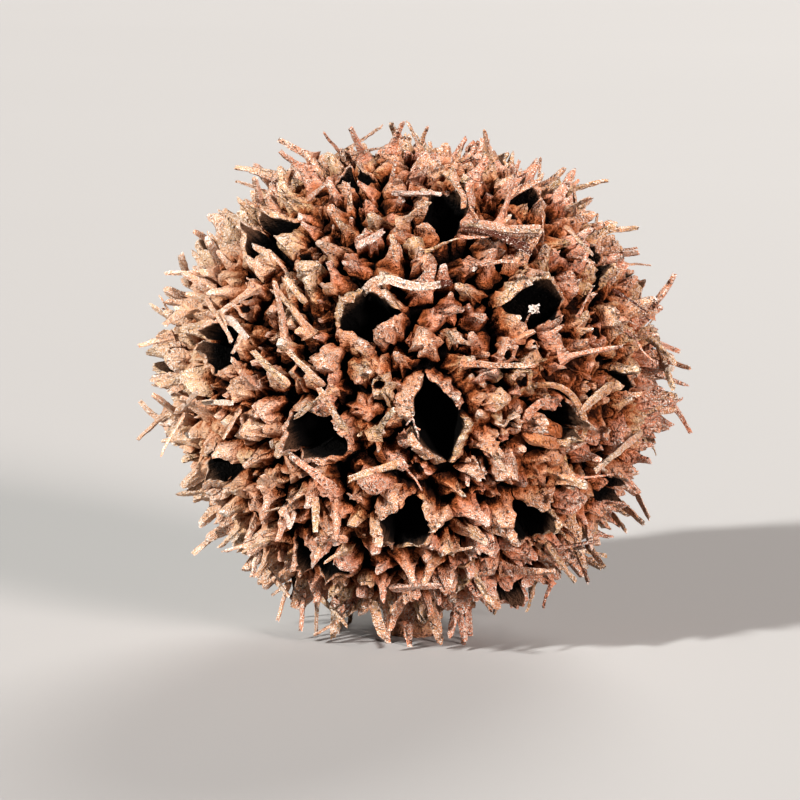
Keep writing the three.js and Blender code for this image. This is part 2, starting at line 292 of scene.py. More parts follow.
class Skin:  # gathers closed lofts of rings with a value for each point, and makes one mesh of them
    def __init__(self, name):
        self.name, self.points, self.quads, self.triangles = name, [], [], []
        self.values, self.count = {}, 0

    def addPoints(self, points, values):
        flat = points.reshape(-1, 3)
        self.points.append(flat)
        for key in skinValues:
            value = np.broadcast_to(values.get(key, 0.0), points.shape[:-1])
            self.values.setdefault(key, []).append(value.reshape(-1))
        self.count += len(flat)
        return self.count - len(flat)

    def addLofts(self, rings, values):  # rings: things, rings, points round; the ends close on their middles
        things, layers, around = rings.shape[:3]
        start = self.addPoints(rings, values)
        first = start + np.arange(things)[:, None, None] * layers * around
        row = first + np.arange(layers - 1)[None, :, None] * around
        i, j = np.arange(around), (np.arange(around) + 1) % around
        quads = np.stack([row + i, row + j, row + around + j, row + around + i], -1)
        self.quads.append(quads.reshape(-1, 4))
        for layer, flip in ((0, True), (layers - 1, False)):
            ends = {}
            for key, value in values.items():
                value = np.broadcast_to(value, rings.shape[:-1])
                ends[key] = value[:, layer].mean(1)
            middle = self.addPoints(rings[:, layer].mean(1), ends) + np.arange(things)[:, None]
            edge = first[:, 0] + layer * around
            fan = [edge + j, edge + i] if flip else [edge + i, edge + j]
            self.triangles.append(np.stack(fan + [np.broadcast_to(middle, fan[0].shape)], -1).reshape(-1, 3))

    def build(self, sharp=None):
        quads = np.concatenate(self.quads) if self.quads else np.zeros((0, 4), int)
        triangles = np.concatenate(self.triangles) if self.triangles else np.zeros((0, 3), int)
        mesh = bpy.data.meshes.new(self.name)
        mesh.vertices.add(self.count)
        mesh.vertices.foreach_set("co", placed(np.concatenate(self.points)).astype(np.float32).ravel())
        corners = np.concatenate([quads.ravel(), triangles.ravel()])
        mesh.loops.add(len(corners))
        mesh.loops.foreach_set("vertex_index", corners.astype(np.int32))
        starts = np.concatenate([np.arange(len(quads)) * 4, 4 * len(quads) + np.arange(len(triangles)) * 3])
        mesh.polygons.add(len(starts))
        mesh.polygons.foreach_set("loop_start", starts.astype(np.int32))
        mesh.update(calc_edges=True)
        mesh.validate()
        mesh.polygons.foreach_set("use_smooth", np.ones(len(mesh.polygons), bool))
        if sharp:
            mesh.set_sharp_from_angle(angle=math.radians(sharp))
        for key, value in self.values.items():
            made = mesh.attributes.new(key, "FLOAT", "POINT")
            made.data.foreach_set("value", np.concatenate(value).astype(np.float32))
        piece = bpy.data.objects.new(self.name, mesh)
        bpy.context.collection.objects.link(piece)
        print(self.name, 2 * len(quads) + len(triangles), "triangles")
        return piece


def riseOf(points):  # 0 at the bottom of the clefts, 1 at the beaks
    far = np.linalg.norm(points, axis=-1)
    return (far - ball["cleftRadius"]) / (ball["beakRadius"] - ball["cleftRadius"])


# Lobes: scales, side lumps and valve beaks, each a bent loft over its footprint.
lobeForms = {  # from root to tip: share of the height, width, lean and depth of the flutes
    "horn": {
        "level": [0, 0.17, 0.31, 0.38, 0.415, 0.45, 0.50, 0.57, 0.66, 0.76, 0.87, 0.96, 1.0],
        "width": [0.50, 0.56, 0.78, 0.97, 1.02, 0.97, 0.80, 0.62, 0.50, 0.42, 0.37, 0.34, 0.25],
        "lean": [0, 0, 0, 0.02, 0.04, 0.07, 0.13, 0.23, 0.38, 0.57, 0.78, 0.95, 1.0],
        "flute": [0.1, 0.5, 1.0, 1.3, 1.4, 1.3, 1.15, 1.0, 0.8, 0.6, 0.5, 0.5, 0.5],
    },
    "block": {
        "level": [0, 0.17, 0.31, 0.40, 0.46, 0.53, 0.61, 0.68, 0.74, 0.78, 0.80, 0.79, 0.785],
        "width": [0.50, 0.58, 0.80, 0.96, 1.01, 0.98, 0.90, 0.80, 0.68, 0.54, 0.38, 0.22, 0.10],
        "lean": [0, 0, 0, 0.02, 0.04, 0.07, 0.13, 0.2, 0.27, 0.33, 0.38, 0.42, 0.44],
        "flute": [0.1, 0.5, 0.9, 1.1, 1.2, 1.2, 1.1, 1.0, 0.9, 0.8, 0.7, 0.6, 0.5],
    },
    "knob": {
        "level": [0, 0.17, 0.31, 0.40, 0.48, 0.56, 0.64, 0.71, 0.77, 0.82, 0.855, 0.88, 0.89],
        "width": [0.48, 0.55, 0.74, 0.86, 0.92, 0.93, 0.89, 0.81, 0.69, 0.55, 0.40, 0.24, 0.10],
        "lean": [0, 0, 0, 0.02, 0.04, 0.07, 0.13, 0.2, 0.27, 0.33, 0.38, 0.42, 0.44],
        "flute": [0.1, 0.4, 0.7, 0.9, 0.9, 0.9, 0.8, 0.8, 0.7, 0.6, 0.5, 0.4, 0.3],
    },
    "crater": {
        "level": [0, 0.17, 0.31, 0.40, 0.47, 0.55, 0.63, 0.71, 0.77, 0.79, 0.75, 0.66, 0.58],
        "width": [0.50, 0.58, 0.80, 0.96, 1.01, 0.98, 0.91, 0.82, 0.68, 0.50, 0.38, 0.30, 0.16],
        "lean": [0, 0, 0, 0.02, 0.04, 0.07, 0.13, 0.2, 0.27, 0.33, 0.38, 0.42, 0.44],
        "flute": [0.1, 0.5, 0.9, 1.2, 1.2, 1.2, 1.1, 1.0, 0.9, 0.8, 0.6, 0.3, 0.2],
    },
}
formNames = list(lobeForms)
hornForm, blockForm, craterForm = (formNames.index(name) for name in ("horn", "block", "crater"))
lobeRules = {  # pairs are from and to, and those of a stage are shares of the way from root to tip
    "uneven": (0.38, 0.2),  # how far the points round a lobe are pushed aside, once and twice round it
    "neighbourhood": 3,
    "unbounded": 9,  # a spread that nothing near stops
    "facing": 10,  # how far along a mouth's axis a lobe lies at least to be near that mouth
    "leastSpread": (0.12, 0.15),  # anywhere, and at a mouth
    "followStage": (0.4, 0.75),  # where a horn's rings turn square to its bend
    "ridgePower": 1.3,
    "ridgeSpread": 0.5,  # how much the ridges of one lobe differ
    "ridgeMost": 1.2,
    "fluteSpread": (0.6, 1.35),
    "fluteMiddle": 0.6,
    "roundStage": (0.3, 0.75),  # where the footprint's outline turns round
    "roundMost": 0.8,
    "slimStage": (0.45, 0.85),
    "skirt": (0.33, 0.1),  # where the ridges' ends hang, and over how much of the way
    "skirtHang": (0.45, 0.35),
    "edge": (0.68, 0.16),  # the rim of a blunt top
    "edgeRise": 0.3,
    "slope": 0.35,
    "tornStage": (0.86, 1.0),
    "torn": 0.11,
    "swayStage": (0.0, 0.3),
    "hornCalm": (0.55, 0.9, 0.6),  # where a horn sways less, and how much less
    "sway": (0.6, 0.14),  # size of a wave, and how far it moves the points
    "roughSize": 0.24,
    "tipStage": (0.8, 1.0),
    "pitStage": (0.74, 0.92),
    "pitShade": 0.8,
    "ridgeStage": (0.12, 0.3),
    "paleness": (0.08, 0.5),
}


def resampled(values, count):
    stops = np.linspace(0, 1, len(values))
    return np.interp(np.linspace(0, 1, count), stops, values)


def anyAngle(numbers, use):
    return 6.3 * draw(numbers, use)


def hill(middle, width, x):  # 1 in the middle, and near 0 two widths off
    return np.exp(-(((x - middle) / width) ** 2))


def anglesOf(numbers, around):  # round a lobe, uneven so that no two lobes have the same ridges
    once, twice = lobeRules["uneven"]
    even = np.arange(around) * 2 * math.pi / around
    angles = even + once * np.sin(even + anyAngle(numbers, 42)[:, None])
    return angles + twice * np.sin(2 * even + anyAngle(numbers, 43)[:, None])


def raysOf(first, second, angles):
    return first * np.cos(angles)[..., None] + second * np.sin(angles)[..., None]


def footprintsOf(places, rays, own, look):  # how far each lobe may spread to its neighbours and the mouths
    rules, far = lobeRules, lobeRules["unbounded"]
    reach = np.full(rays.shape[:2], float(look["widest"]))
    apart = scalePlaces[None] - places[:, None]
    gap2 = dot(apart, apart)
    weights = blend(*scaleLook["weight"], draw(scaleNumbers, 39)) ** 2
    for i in range(len(places)):
        near = np.flatnonzero((gap2[i] < rules["neighbourhood"] ** 2) & (scaleNumbers != own[i]))
        along = rays[i] @ apart[i, near].T
        middle = (gap2[i, near] + weights[own[i]] - weights[near]) / 2
        reach[i] = np.minimum(reach[i], np.where(along > 1e-6, middle / np.maximum(along, 1e-6), far).min(1))
    halfLong = capsuleRules["length"] / 2 * capsules["size"][:, 0] + look["mouthGap"]
    halfWide = capsuleRules["width"] / 2 * capsules["size"][:, 1] + look["mouthGap"]
    least, leastAtMouth = rules["leastSpread"]
    for c in range(len(halfLong)):
        near = np.flatnonzero(places @ capsules["normal"][c] > rules["facing"])
        long, wide = capsules["long"][c] / halfLong[c], capsules["wide"][c] / halfWide[c]
        x, y = (places[near] @ long)[:, None], (places[near] @ wide)[:, None]
        dx, dy = rays[near] @ long, rays[near] @ wide
        a, b, k = dx * dx + dy * dy, x * dx + y * dy, x * x + y * y - 1
        root = b * b - a * k
        hit = np.where((root > 0) & (b < 0), (-b - np.sqrt(np.maximum(root, 0))) / a, far)
        reach[near] = np.minimum(reach[near], np.maximum(hit, leastAtMouth))
    return np.maximum(reach * look["spread"] - look["gap"], least)


def outlinesOf(places, lean, own, numbers, look):  # the angles round new lobes, and how far they spread there
    angles = anglesOf(numbers, look["around"])
    rays = raysOf(lean[:, None], np.cross(unit(places), lean)[:, None], angles)
    return angles, footprintsOf(places, rays, own, look)


def growLobes(skin, places, lean, tips, footprint, angles, forms, numbers, look, seed):
    rules, around, layers = lobeRules, footprint.shape[1], look["layers"]
    t = np.linspace(0, 1, layers)[None, :, None]
    normal = unit(places)
    side = np.cross(normal, lean)
    table = {}
    for key in lobeForms["horn"]:
        table[key] = np.array([resampled(lobeForms[name][key], layers) for name in formNames])[forms]
    high = np.linalg.norm(tips, axis=1)
    radius = look["rootRadius"] + (high - look["rootRadius"])[:, None] * table["level"]
    out, aside = dot(tips, lean), dot(tips, side)
    middles = normal[:, None] * radius[..., None]
    middles = middles + lean[:, None] * (table["lean"] * out[:, None])[..., None]
    middles = middles + side[:, None] * (table["lean"] * aside[:, None])[..., None]
    horned = (forms == hornForm)[:, None, None]
    follow = ease(*rules["followStage"], t) * horned
    along = unit(blend(normal[:, None], unit(np.gradient(middles, axis=1)), follow))
    first = unit(lean[:, None] - along * dot(along, lean[:, None])[..., None])
    second = np.cross(along, first)
    # ridges from the scalloped edge up to the tip, each on a column of points
    few, many = look["ridges"]
    column = np.arange(around)[None] * np.where(draw(numbers, 41) < 0.5, few, many)[:, None]
    phase = (column % around) / around
    uneven = 1 + rules["ridgeSpread"] * (draw(numbers[:, None] * 7 + column // around, 44) - 0.5)
    ridge = np.abs(2 * phase - 1) ** rules["ridgePower"] * np.minimum(uneven, rules["ridgeMost"])
    depth = look["flute"] * blend(*rules["fluteSpread"], draw(numbers, 45))[:, None] * table["flute"]
    mean = np.minimum(footprint.mean(1), rules["roundMost"])[:, None, None]
    slim = blend(*look["horn"], draw(numbers, 105))[:, None, None]
    width = table["width"][..., None] * blend(footprint[:, None], mean, ease(*rules["roundStage"], t))
    width = width * np.where(horned, blend(1, slim, ease(*rules["slimStage"], t)), 1)
    width = width * (1 + depth[..., None] * (ridge[:, None] - rules["fluteMiddle"]))
    rays = raysOf(first[:, :, None], second[:, :, None], angles[:, None])
    points = middles[:, :, None] + rays * width[..., None]
    # the ridges' ends hang a little, blunt tops slope and are uneven, and horns are torn off aslant
    blunt = np.isin(forms, (blockForm, craterForm))[:, None, None]
    hangFrom, hang = rules["skirtHang"]
    skirt = hill(*rules["skirt"], t) * (hangFrom - ridge[:, None]) * hang
    edge = hill(*rules["edge"], t)
    slope = (draw(numbers, 46) * rules["slope"])[:, None, None]
    slope = slope * np.cos(angles - anyAngle(numbers, 47)[:, None])[:, None]
    torn = np.cos(angles - anyAngle(numbers, 106)[:, None])[:, None]
    torn = torn * ease(*rules["tornStage"], t) * rules["torn"]
    lift = skirt + np.where(blunt, edge * (slope + (ridge[:, None] - 0.5) * rules["edgeRise"]), torn * horned)
    points = points + normal[:, None, None] * lift[..., None]
    calmFrom, calmTo, calm = rules["hornCalm"]
    strength = ease(*rules["swayStage"], t)[..., None]
    strength = strength * np.where(horned, 1 - calm * ease(calmFrom, calmTo, t), 1)[..., None]
    waveSize, wave = rules["sway"]
    sway = swayOf(points, waveSize, seed + 1) * wave
    sway = sway + swayOf(points, rules["roughSize"], seed + 2) * look["rough"]
    points = points + sway * strength
    hornTip = horned * ease(*rules["tipStage"], t)
    edgeTip = blunt * edge * ridge[:, None] * 0.5
    # painted shade: a crater's hollow has its rise lowered, so it is painted darker
    pit = (forms == craterForm)[:, None, None] * ease(*rules["pitStage"], t)
    least, more = rules["paleness"]
    skin.addLofts(points, {
        "rise": riseOf(points) * (1 - rules["pitShade"] * pit),
        "ridge": np.clip(ridge, 0, 1)[:, None] * ease(*rules["ridgeStage"], t) * (1 - pit),
        "pale": (hornTip + edgeTip) * (least + more * draw(numbers, 48) ** 2)[:, None, None],
        "shade": draw(numbers, 49)[:, None, None],
    })


# Scales, with beaks where the solid has them.
beakRules = {  # as in the solid
    "out": (0.2, 0.52),
    "high": (-0.55, 0.6),
    "footWithin": 4.1,  # scales this near the stalk carry spines that reach the floor
    "spineShare": 0.148,
}
scaleLook = {
    "parts": 3,
    "around": 30,
    "layers": 17,
    "rootRadius": 10.7,
    "mouthGap": 0.55,  # from the rim of a mouth to the scales beside it
    "gap": 0.1,
    "widest": 1.25,
    "spread": 0.93,
    "weight": (0.55, 1.0),  # a heavier scale takes more room from its neighbours
    "leanMore": (0.9, 2.2),  # times the lean of the solid's beak
    "kinds": {"horn": 0.62, "block": 0.24, "knob": 0.05, "crater": 0.09},
    "grainy": {"at": (520, 425), "within": 4.3, "size": 0.85},  # small blunt scales, by the picture
    "ridges": (5, 6),
    "flute": 0.34,
    "rough": 0.075,
    "horn": (0.5, 1.05),  # how thick a horn is drawn out
    "beside": 1.9,
    "sideDrop": 0.2,
    "nearDrop": 0.6,
    "splay": 0.3,
}
scaleLevel, scaleSteep = tangentsOf(scalePlaces)
scaleTurn = 2 * math.pi * draw(scaleNumbers, 5)
scaleLean = turned(scaleLevel, scaleSteep, scaleTurn)
scaleSide = np.cross(unit(scalePlaces), scaleLean)
scaleOut = blend(*beakRules["out"], draw(scaleNumbers, 6))
beakHigh = ball["beakRadius"] + blend(*beakRules["high"], draw(scaleNumbers, 8))
cadTips = unit(scalePlaces + scaleLean * scaleOut[:, None]) * beakHigh[:, None]
standing = np.linalg.norm(scalePlaces - down * ball["shoulderRadius"], axis=1) < beakRules["footWithin"]
spined = standing | (draw(scaleNumbers, 12) < beakRules["spineShare"])


def mouthDrop():  # how much lower and farther out the scales beside a mouth end
    look = scaleLook
    drop, push = np.zeros(len(scalePlaces)), np.zeros_like(scalePlaces)
    halfLong, halfWide = capsuleRules["length"] / 2, capsuleRules["width"] / 2
    for c in range(capsuleRules["count"]):
        long, wide = capsules["long"][c], capsules["wide"][c]
        x, y = scalePlaces @ long, scalePlaces @ wide
        inside = np.hypot(x / (halfLong + look["beside"]), y / (halfWide + look["beside"]))
        beside = (inside < 1) & (scalePlaces @ capsules["normal"][c] > 0)
        out = unit(np.outer(x / halfLong, long) + np.outer(y / halfWide, wide))
        drop = np.where(beside, look["sideDrop"] + look["nearDrop"] * nearSide(c, out), drop)
        push = np.where(beside[:, None], out * look["splay"], push)
    return drop, push


def inGrainyPatch():
    patch = scaleLook["grainy"]
    middle = onBall(*patch["at"], ball["shoulderRadius"])
    return np.linalg.norm(scalePlaces - middle, axis=1) < patch["within"]


def makeScales():
    look = scaleLook
    kinds = np.cumsum(list(look["kinds"].values()))
    forms = np.searchsorted(kinds[:-1], draw(scaleNumbers, 40))
    forms[spined] = hornForm
    grainy = inGrainyPatch() & ~spined
    bluntForms = blockForm + (draw(scaleNumbers, 109) * 3).astype(int)
    forms = np.where(grainy & (forms == hornForm), bluntForms, forms)
    more = blend(*look["leanMore"], draw(scaleNumbers, 50))
    more = np.where((forms == hornForm) & ~spined, more, 1)
    drop, push = mouthDrop()
    tips = unit(scalePlaces + push + scaleLean * (scaleOut * more)[:, None]) * (beakHigh - drop)[:, None]
    angles, footprint = outlinesOf(scalePlaces, scaleLean, scaleNumbers, scaleNumbers, look)
    footprint = np.where(grainy[:, None], footprint * look["grainy"]["size"], footprint)
    made = []
    for part in range(look["parts"]):
        mine = np.flatnonzero(scaleNumbers * look["parts"] // len(scaleNumbers) == part)
        skin = Skin(f"scales_{part + 1}")
        growLobes(
            skin, scalePlaces[mine], scaleLean[mine], tips[mine], footprint[mine],
            angles[mine], forms[mine], mine, look, part,
        )
        made.append(skin.build(sharp=creaseAngle))
    return made


# Lumps beside the scales, where the solid has shoulders, and more of them in places left bare.
lumpLook = {
    "around": 15,
    "layers": 9,
    "rootRadius": 11.2,
    "mouthGap": 0.5,
    "gap": 0.04,
    "widest": 0.46,
    "spread": 0.95,
    "ridges": (3, 5),
    "flute": 0.25,
    "rough": 0.05,
    "horn": (0.6, 1.1),
    "share": 0.36,  # of the solid's shoulders that carry one
    "aside": 120,  # to each side of the beak
    "out": (0.38, 0.6),
    "high": (-0.45, 0.45),
    "swing": 2.4,
    "size": (0.7, 1.1),
    "leastGrainy": 0.34,  # how far they spread at least in the grainy patch
    "lift": (0.1, 0.5),
    "lean": (0.05, 0.4),
    "kinds": (0.5, 0.85, 0.92),  # up to where a draw makes a horn, a block and a knob
    "firstNumber": 1000,
    "seed": 5,
}
fillLook = {
    **lumpLook,
    "widest": 0.8,
    "flute": 0.28,
    "rough": 0.06,
    "lattice": 4000,
    "rimClear": 0.7,
    "scaleClear": 1.0,
    "apart": 0.9,
    "least": 0.36,
    "high": (-0.4, 0.6),
    "lean": (0.05, 0.5),
    "kinds": (0.45, 0.8, 0.92),
    "firstNumber": 5000,
    "seed": 8,
}


def barePlaces():  # between the scales and the mouths
    look = fillLook
    places = spiralDirections(look["lattice"]) * ball["shoulderRadius"]
    halfLong = capsuleRules["length"] / 2 * capsules["size"][:, 0] + look["rimClear"]
    halfWide = capsuleRules["width"] / 2 * capsules["size"][:, 1] + look["rimClear"]
    bare = (insideMouth(places, halfLong, halfWide) > 1).all(1)
    bare &= np.linalg.norm(places[:, None] - scalePlaces[None], axis=2).min(1) > look["scaleClear"]
    bare &= np.linalg.norm(places - down * ball["shoulderRadius"], axis=1) > scaleRules["stalkClearance"]
    candidates = np.flatnonzero(bare)
    chosen = []
    for i in candidates[np.argsort(draw(candidates, 110), kind="stable")]:
        if not chosen or np.linalg.norm(places[chosen] - places[i], axis=1).min() > look["apart"]:
            chosen.append(i)
    print("bare places filled:", len(chosen))
    return places[chosen]


def growSideLumps(skin):
    look, grainy = lumpLook, inGrainyPatch()
    for i, hand in enumerate((-1, 1, 0)):  # the grainy patch has all three
        mine = np.flatnonzero((draw(scaleNumbers, 51 + i) < look["share"]) & (i < 2) | grainy)
        out = blend(*look["out"], draw(mine, 21 + i))
        high = ball["shoulderRadius"] + blend(*look["high"], draw(mine, 23 + i))
        outward = scaleTurn[mine] + hand * math.radians(look["aside"])
        outward = turned(scaleLevel[mine], scaleSteep[mine], outward)
        places = unit(scalePlaces[mine] + outward * out[:, None]) * ball["shoulderRadius"]
        normal = unit(places)
        lean = unit(outward - normal * dot(outward, normal)[:, None])
        lean = turned(lean, np.cross(normal, lean), look["swing"] * (draw(mine, 53 + i) - 0.5))
        numbers = mine + look["firstNumber"] * (i + 1)
        angles, footprint = outlinesOf(places, lean, mine, numbers, look)
        footprint = footprint * blend(*look["size"], draw(mine, 55 + i))[:, None]
        footprint = np.where(grainy[mine, None], np.maximum(footprint, look["leastGrainy"]), footprint)
        lift = blend(*look["lift"], draw(mine, 57 + i))
        tips = places + lean * blend(*look["lean"], draw(mine, 59 + i))[:, None]
        tips = unit(tips) * (high + lift)[:, None]
        forms = np.searchsorted(look["kinds"], draw(mine, 61 + i))
        growLobes(skin, places, lean, tips, footprint, angles, forms, numbers, look, look["seed"] + i)


def growFillLumps(skin):
    look, places = fillLook, barePlaces()
    numbers = np.arange(len(places)) + look["firstNumber"]
    nearest = np.linalg.norm(places[:, None] - scalePlaces[None], axis=2).argmin(1)
    lean = turned(*tangentsOf(unit(places)), anyAngle(numbers, 111))
    angles, footprint = outlinesOf(places, lean, nearest, numbers, look)
    footprint = np.maximum(footprint, look["least"])
    high = ball["shoulderRadius"] + blend(*look["high"], draw(numbers, 112))
    tips = unit(places + lean * blend(*look["lean"], draw(numbers, 113))[:, None]) * high[:, None]
    forms = np.searchsorted(look["kinds"], draw(numbers, 114))
    growLobes(skin, places, lean, tips, footprint, angles, forms, numbers, look, look["seed"])


def makeLumps():
    skin = Skin("side_lumps")
    growSideLumps(skin)
    growFillLumps(skin)
    return skin.build(sharp=creaseAngle)


# Valves round each mouth: four broken plates, from the corners to the middles of the lips.
valveLook = {
    "stations": 26,
    "cornerRadius": 12.2,
    "beakRadius": 13.3,
    "spread": 0.6,
    "notch": 0.75,
    "ends": ((0.02, 0.05), (0.99, -0.07)),  # where on its quarter a plate starts and stops, and how much more
    "climb": ([0, 0.4, 0.8, 1], [0, 0.55, 0.95]),  # along the quarter, and the share of the climb to the beak
    "thickness": (0.5, 0.95),
    "taper": ([0, 0.1, 0.35, 0.6, 0.88, 1], [0.2, 0.6, 0.9, 1.05, 0.85, 0.35]),
    "lens": (0.25, 0.8),  # 0 an oval mouth, 1 a pointed one
    "splay": 0.25,
    "straight": (0.15, 0.9),  # 0 a curved edge, 1 broken off straight
    "shift": (-0.12, 0.3),  # into the mouth
    "jag": 0.3,
    "jagStops": 8,
    "nearDrop": 0.6,
    "teeth": (0.05, 0.7),
    "toothAt": (0.5, 0.88),
    "toothHalf": 0.13,
    "toothPower": 1.4,
    "toothLean": (-0.3, 0.8),
    "toothPush": 0.6,
    "toothDown": 0.5,  # the rings above this lean with it
    "flutes": (3, 7),
    "fluteDepth": 0.2,
    "fluteMiddle": 0.4,
    "fluteSway": 0.35,
    "fluteRound": 0.7,
    "section": [  # outwards, down, and the share of the thickness: up the inside, over the lip, down the back
        (-0.32, 3.4, 0), (-0.12, 2.3, 0), (-0.02, 1.4, 0), (0.0, 0.8, 0), (0.0, 0.35, 0), (0.0, 0.1, 0),
        (0.02, 0.0, 0.06), (0.03, 0.0, 0.30), (0.03, 0.09, 0.52), (0.0, 0.27, 0.70), (0.0, 0.53, 0.84),
        (0.0, 0.9, 0.94), (0.0, 1.35, 1.0), (0.0, 1.9, 0.95), (-0.1, 3.4, 0.6),
    ],
    "insidePoints": 6,
    "lipPoints": (6, 7),
    "lipPale": (0.25, 0.75, 0.7),  # all along, more on a tooth, and the share of both
    "ridge": 0.8,
    "waves": [(1.0, 21, 0.22), (0.36, 22, 0.16), (0.17, 23, 0.06)],  # size, seed and strength
    "calmInside": 0.25,  # for all but the first wave
}
valveBeakLook = {
    **lumpLook,
    "layers": 11,
    "rootRadius": 11.6,
    "flute": 0.3,
    "rough": 0.07,
    "share": 0.55,  # of the plates that carry one
    "at": (0.45, 0.9),
    "out": (0.0, 0.6),
    "aside": (-0.6, 0.6),
    "back": 0.62,
    "root": 12.2,
    "above": 0.05,
    "radius": 0.4,
    "size": (0.8, 1.4),
    "firstNumber": 3000,
    "seed": 9,
}


def rimPoint(c, angle, lens):
    halfLong = capsuleRules["length"] / 2 * capsules["size"][c, 0]
    halfWide = capsuleRules["width"] / 2 * capsules["size"][c, 1]
    long, wide = capsules["long"][c], capsules["wide"][c]
    cos, sin = np.cos(angle)[..., None], np.sin(angle)[..., None]
    point = long * halfLong * cos + wide * halfWide * sin * np.abs(sin) ** lens
    out = unit(long * cos / halfLong + wide * (sin + valveLook["splay"] * np.sign(sin)) / halfWide)
    return point, out


def plateAngle(quarter, share):  # plates 0 and 1 meet in the middle of one lip, 2 and 3 in the other's
    hand = 1 - 2 * (quarter % 2)
    return (quarter + quarter % 2) * math.pi / 2 + hand * share * math.pi / 2


def plateBeak(number):
    return valveLook["beakRadius"] + (2 * draw(number, 10) - 1) * valveLook["spread"]


def plateOf(c, quarter, lens):  # rings along one plate, and how much each point is on a ridge and on the lip
    look, number, normal = valveLook, 4 * c + quarter, capsules["normal"][c]
    section = np.array(look["section"])
    even = np.linspace(0, 1, look["stations"])
    outside = np.arange(len(section)) >= look["insidePoints"]
    slope = np.clip(section[:, 2] * 1.6, 0, 1) * outside
    ends = [at + more * draw(number, 77 + k) for k, (at, more) in enumerate(look["ends"])]
    shares = blend(*ends, even)
    point, out = rimPoint(c, plateAngle(quarter, shares), lens)
    chord = blend(point[0], point[-1], even[:, None])
    rim = blend(point, chord, blend(*look["straight"], draw(number, 79)))
    rim = rim - out * blend(*look["shift"], draw(number, 80)) * np.sin(math.pi * even)[:, None] ** 0.5
    beak, low = plateBeak(number), look["cornerRadius"]
    heights = [low + (beak - low) * share for share in look["climb"][1]] + [max(beak - look["notch"], low)]
    high = np.interp(shares, look["climb"][0], heights)
    stops = np.arange(look["jagStops"])
    jag = np.interp(even * stops[-1], stops, draw(len(stops) * number + stops, 89))
    high = high + look["jag"] * (jag - 0.5)
    tooth = blend(*look["teeth"], draw(number, 94) ** 2)
    toothAt = blend(*look["toothAt"], draw(number, 95))
    spike = np.maximum(0, 1 - np.abs(even - toothAt) / look["toothHalf"]) ** look["toothPower"]
    high = high + tooth * spike - look["nearDrop"] * nearSide(c, out)
    taper = np.interp(even, *look["taper"])
    thick = blend(*look["thickness"], draw(number, 70)) * taper
    count = round(float(blend(*look["flutes"], draw(number, 96))))
    phase = (even * count + look["fluteSway"] * np.sin(5 * even + 9 * draw(number, 97))) % 1
    flute = 1 - np.abs(2 * phase - 1) ** look["fluteRound"]
    outwards = section[:, 0] + section[:, 2] * thick[:, None]
    outwards = outwards - look["fluteDepth"] * (flute[:, None] - look["fluteMiddle"]) * slope * taper[:, None]
    plate = rim[:, None] + out[:, None] * outwards[..., None]
    toothLean = (spike * tooth * blend(*look["toothLean"], draw(number, 98)))[:, None, None]
    top = (section[:, 1] < look["toothDown"])[:, None]
    plate = plate + out[:, None] * toothLean * top * look["toothPush"]
    plate = plate + normal * (high[:, None] - section[:, 1])[..., None]
    ridge = (1 - flute)[:, None] * slope
    least, more, _ = look["lipPale"]
    lip = np.isin(np.arange(len(section)), look["lipPoints"]) * (least + more * spike[:, None])
    order = slice(None, None, -1) if quarter % 2 == 0 else slice(None)  # so that all faces point outwards
    return plate[order], ridge[order], lip[order]


def growValveBeaks(skin, lenses):
    look, places, tips = valveBeakLook, [], []
    for number in range(4 * capsuleRules["count"]):
        c, quarter = divmod(number, 4)
        if draw(number, 99) < look["share"]:
            normal, at = capsules["normal"][c], blend(*look["at"], draw(number, 101))
            point, out = rimPoint(c, np.array(plateAngle(quarter, at)), lenses[c])
            tip = point + out * blend(*look["out"], draw(number, 73))
            nearDrop = valveLook["nearDrop"] * nearSide(c, out)
            tip = tip + normal * (plateBeak(number) + look["above"] - nearDrop)
            tips.append(tip + np.cross(normal, out) * blend(*look["aside"], draw(number, 74)))
            places.append(unit(point + out * look["back"] + normal * look["root"]) * ball["shoulderRadius"])
    places, tips = np.array(places), np.array(tips)
    numbers = np.arange(len(places)) + look["firstNumber"]
    normal = unit(places)
    lean = unit(tips - normal * dot(tips, normal)[:, None])
    angles = anglesOf(numbers, look["around"])
    footprint = np.full(angles.shape, look["radius"]) * blend(*look["size"], draw(numbers, 75))[:, None]
    forms = np.full(len(places), hornForm)
    growLobes(skin, places, lean, tips, footprint, angles, forms, numbers, look, look["seed"])


def makeValves():
    look, skin = valveLook, Skin("valves")
    lenses = [blend(*look["lens"], draw(c, 76)) for c in range(capsuleRules["count"])]
    made = [plateOf(c, quarter, lens) for c, lens in enumerate(lenses) for quarter in range(4)]
    plates, ridges, lips = (np.array(values) for values in zip(*made))
    numbers = np.arange(len(plates))
    inside = np.arange(plates.shape[2]) < look["insidePoints"]
    waves = [swayOf(plates, size, seed) * strong for size, seed, strong in look["waves"]]
    fine = (waves[1] + waves[2]) * np.where(inside, look["calmInside"], 1)[:, None]
    plates = plates + waves[0] + fine
    skin.addLofts(plates, {
        "rise": riseOf(plates),
        "inner": np.broadcast_to(inside * 1.0, plates.shape[:3]),
        "ridge": ridges * look["ridge"],
        "pale": lips * draw(numbers, 71)[:, None, None] * look["lipPale"][2],
        "shade": draw(numbers, 72)[:, None, None],
    })
    growValveBeaks(skin, lenses)
    return skin.build(sharp=creaseAngle)


# The head between the scales, with a hollow under each mouth.
headLook = {
    "subdivisions": 6,
    "funnel": ([0, 0.42, 0.5, 0.8, 0.93, 1.02, 1.2], [5.3, 5.6, 6.4, 9.0, 10.6, 10.95, 11.0]),
    "wave": (0.8, 31, 0.18),  # size, seed and strength
    "waveOutside": (0.8, 1.2),
    "wallEnds": (0.95, 1.1),
    "shade": 0.5,
}


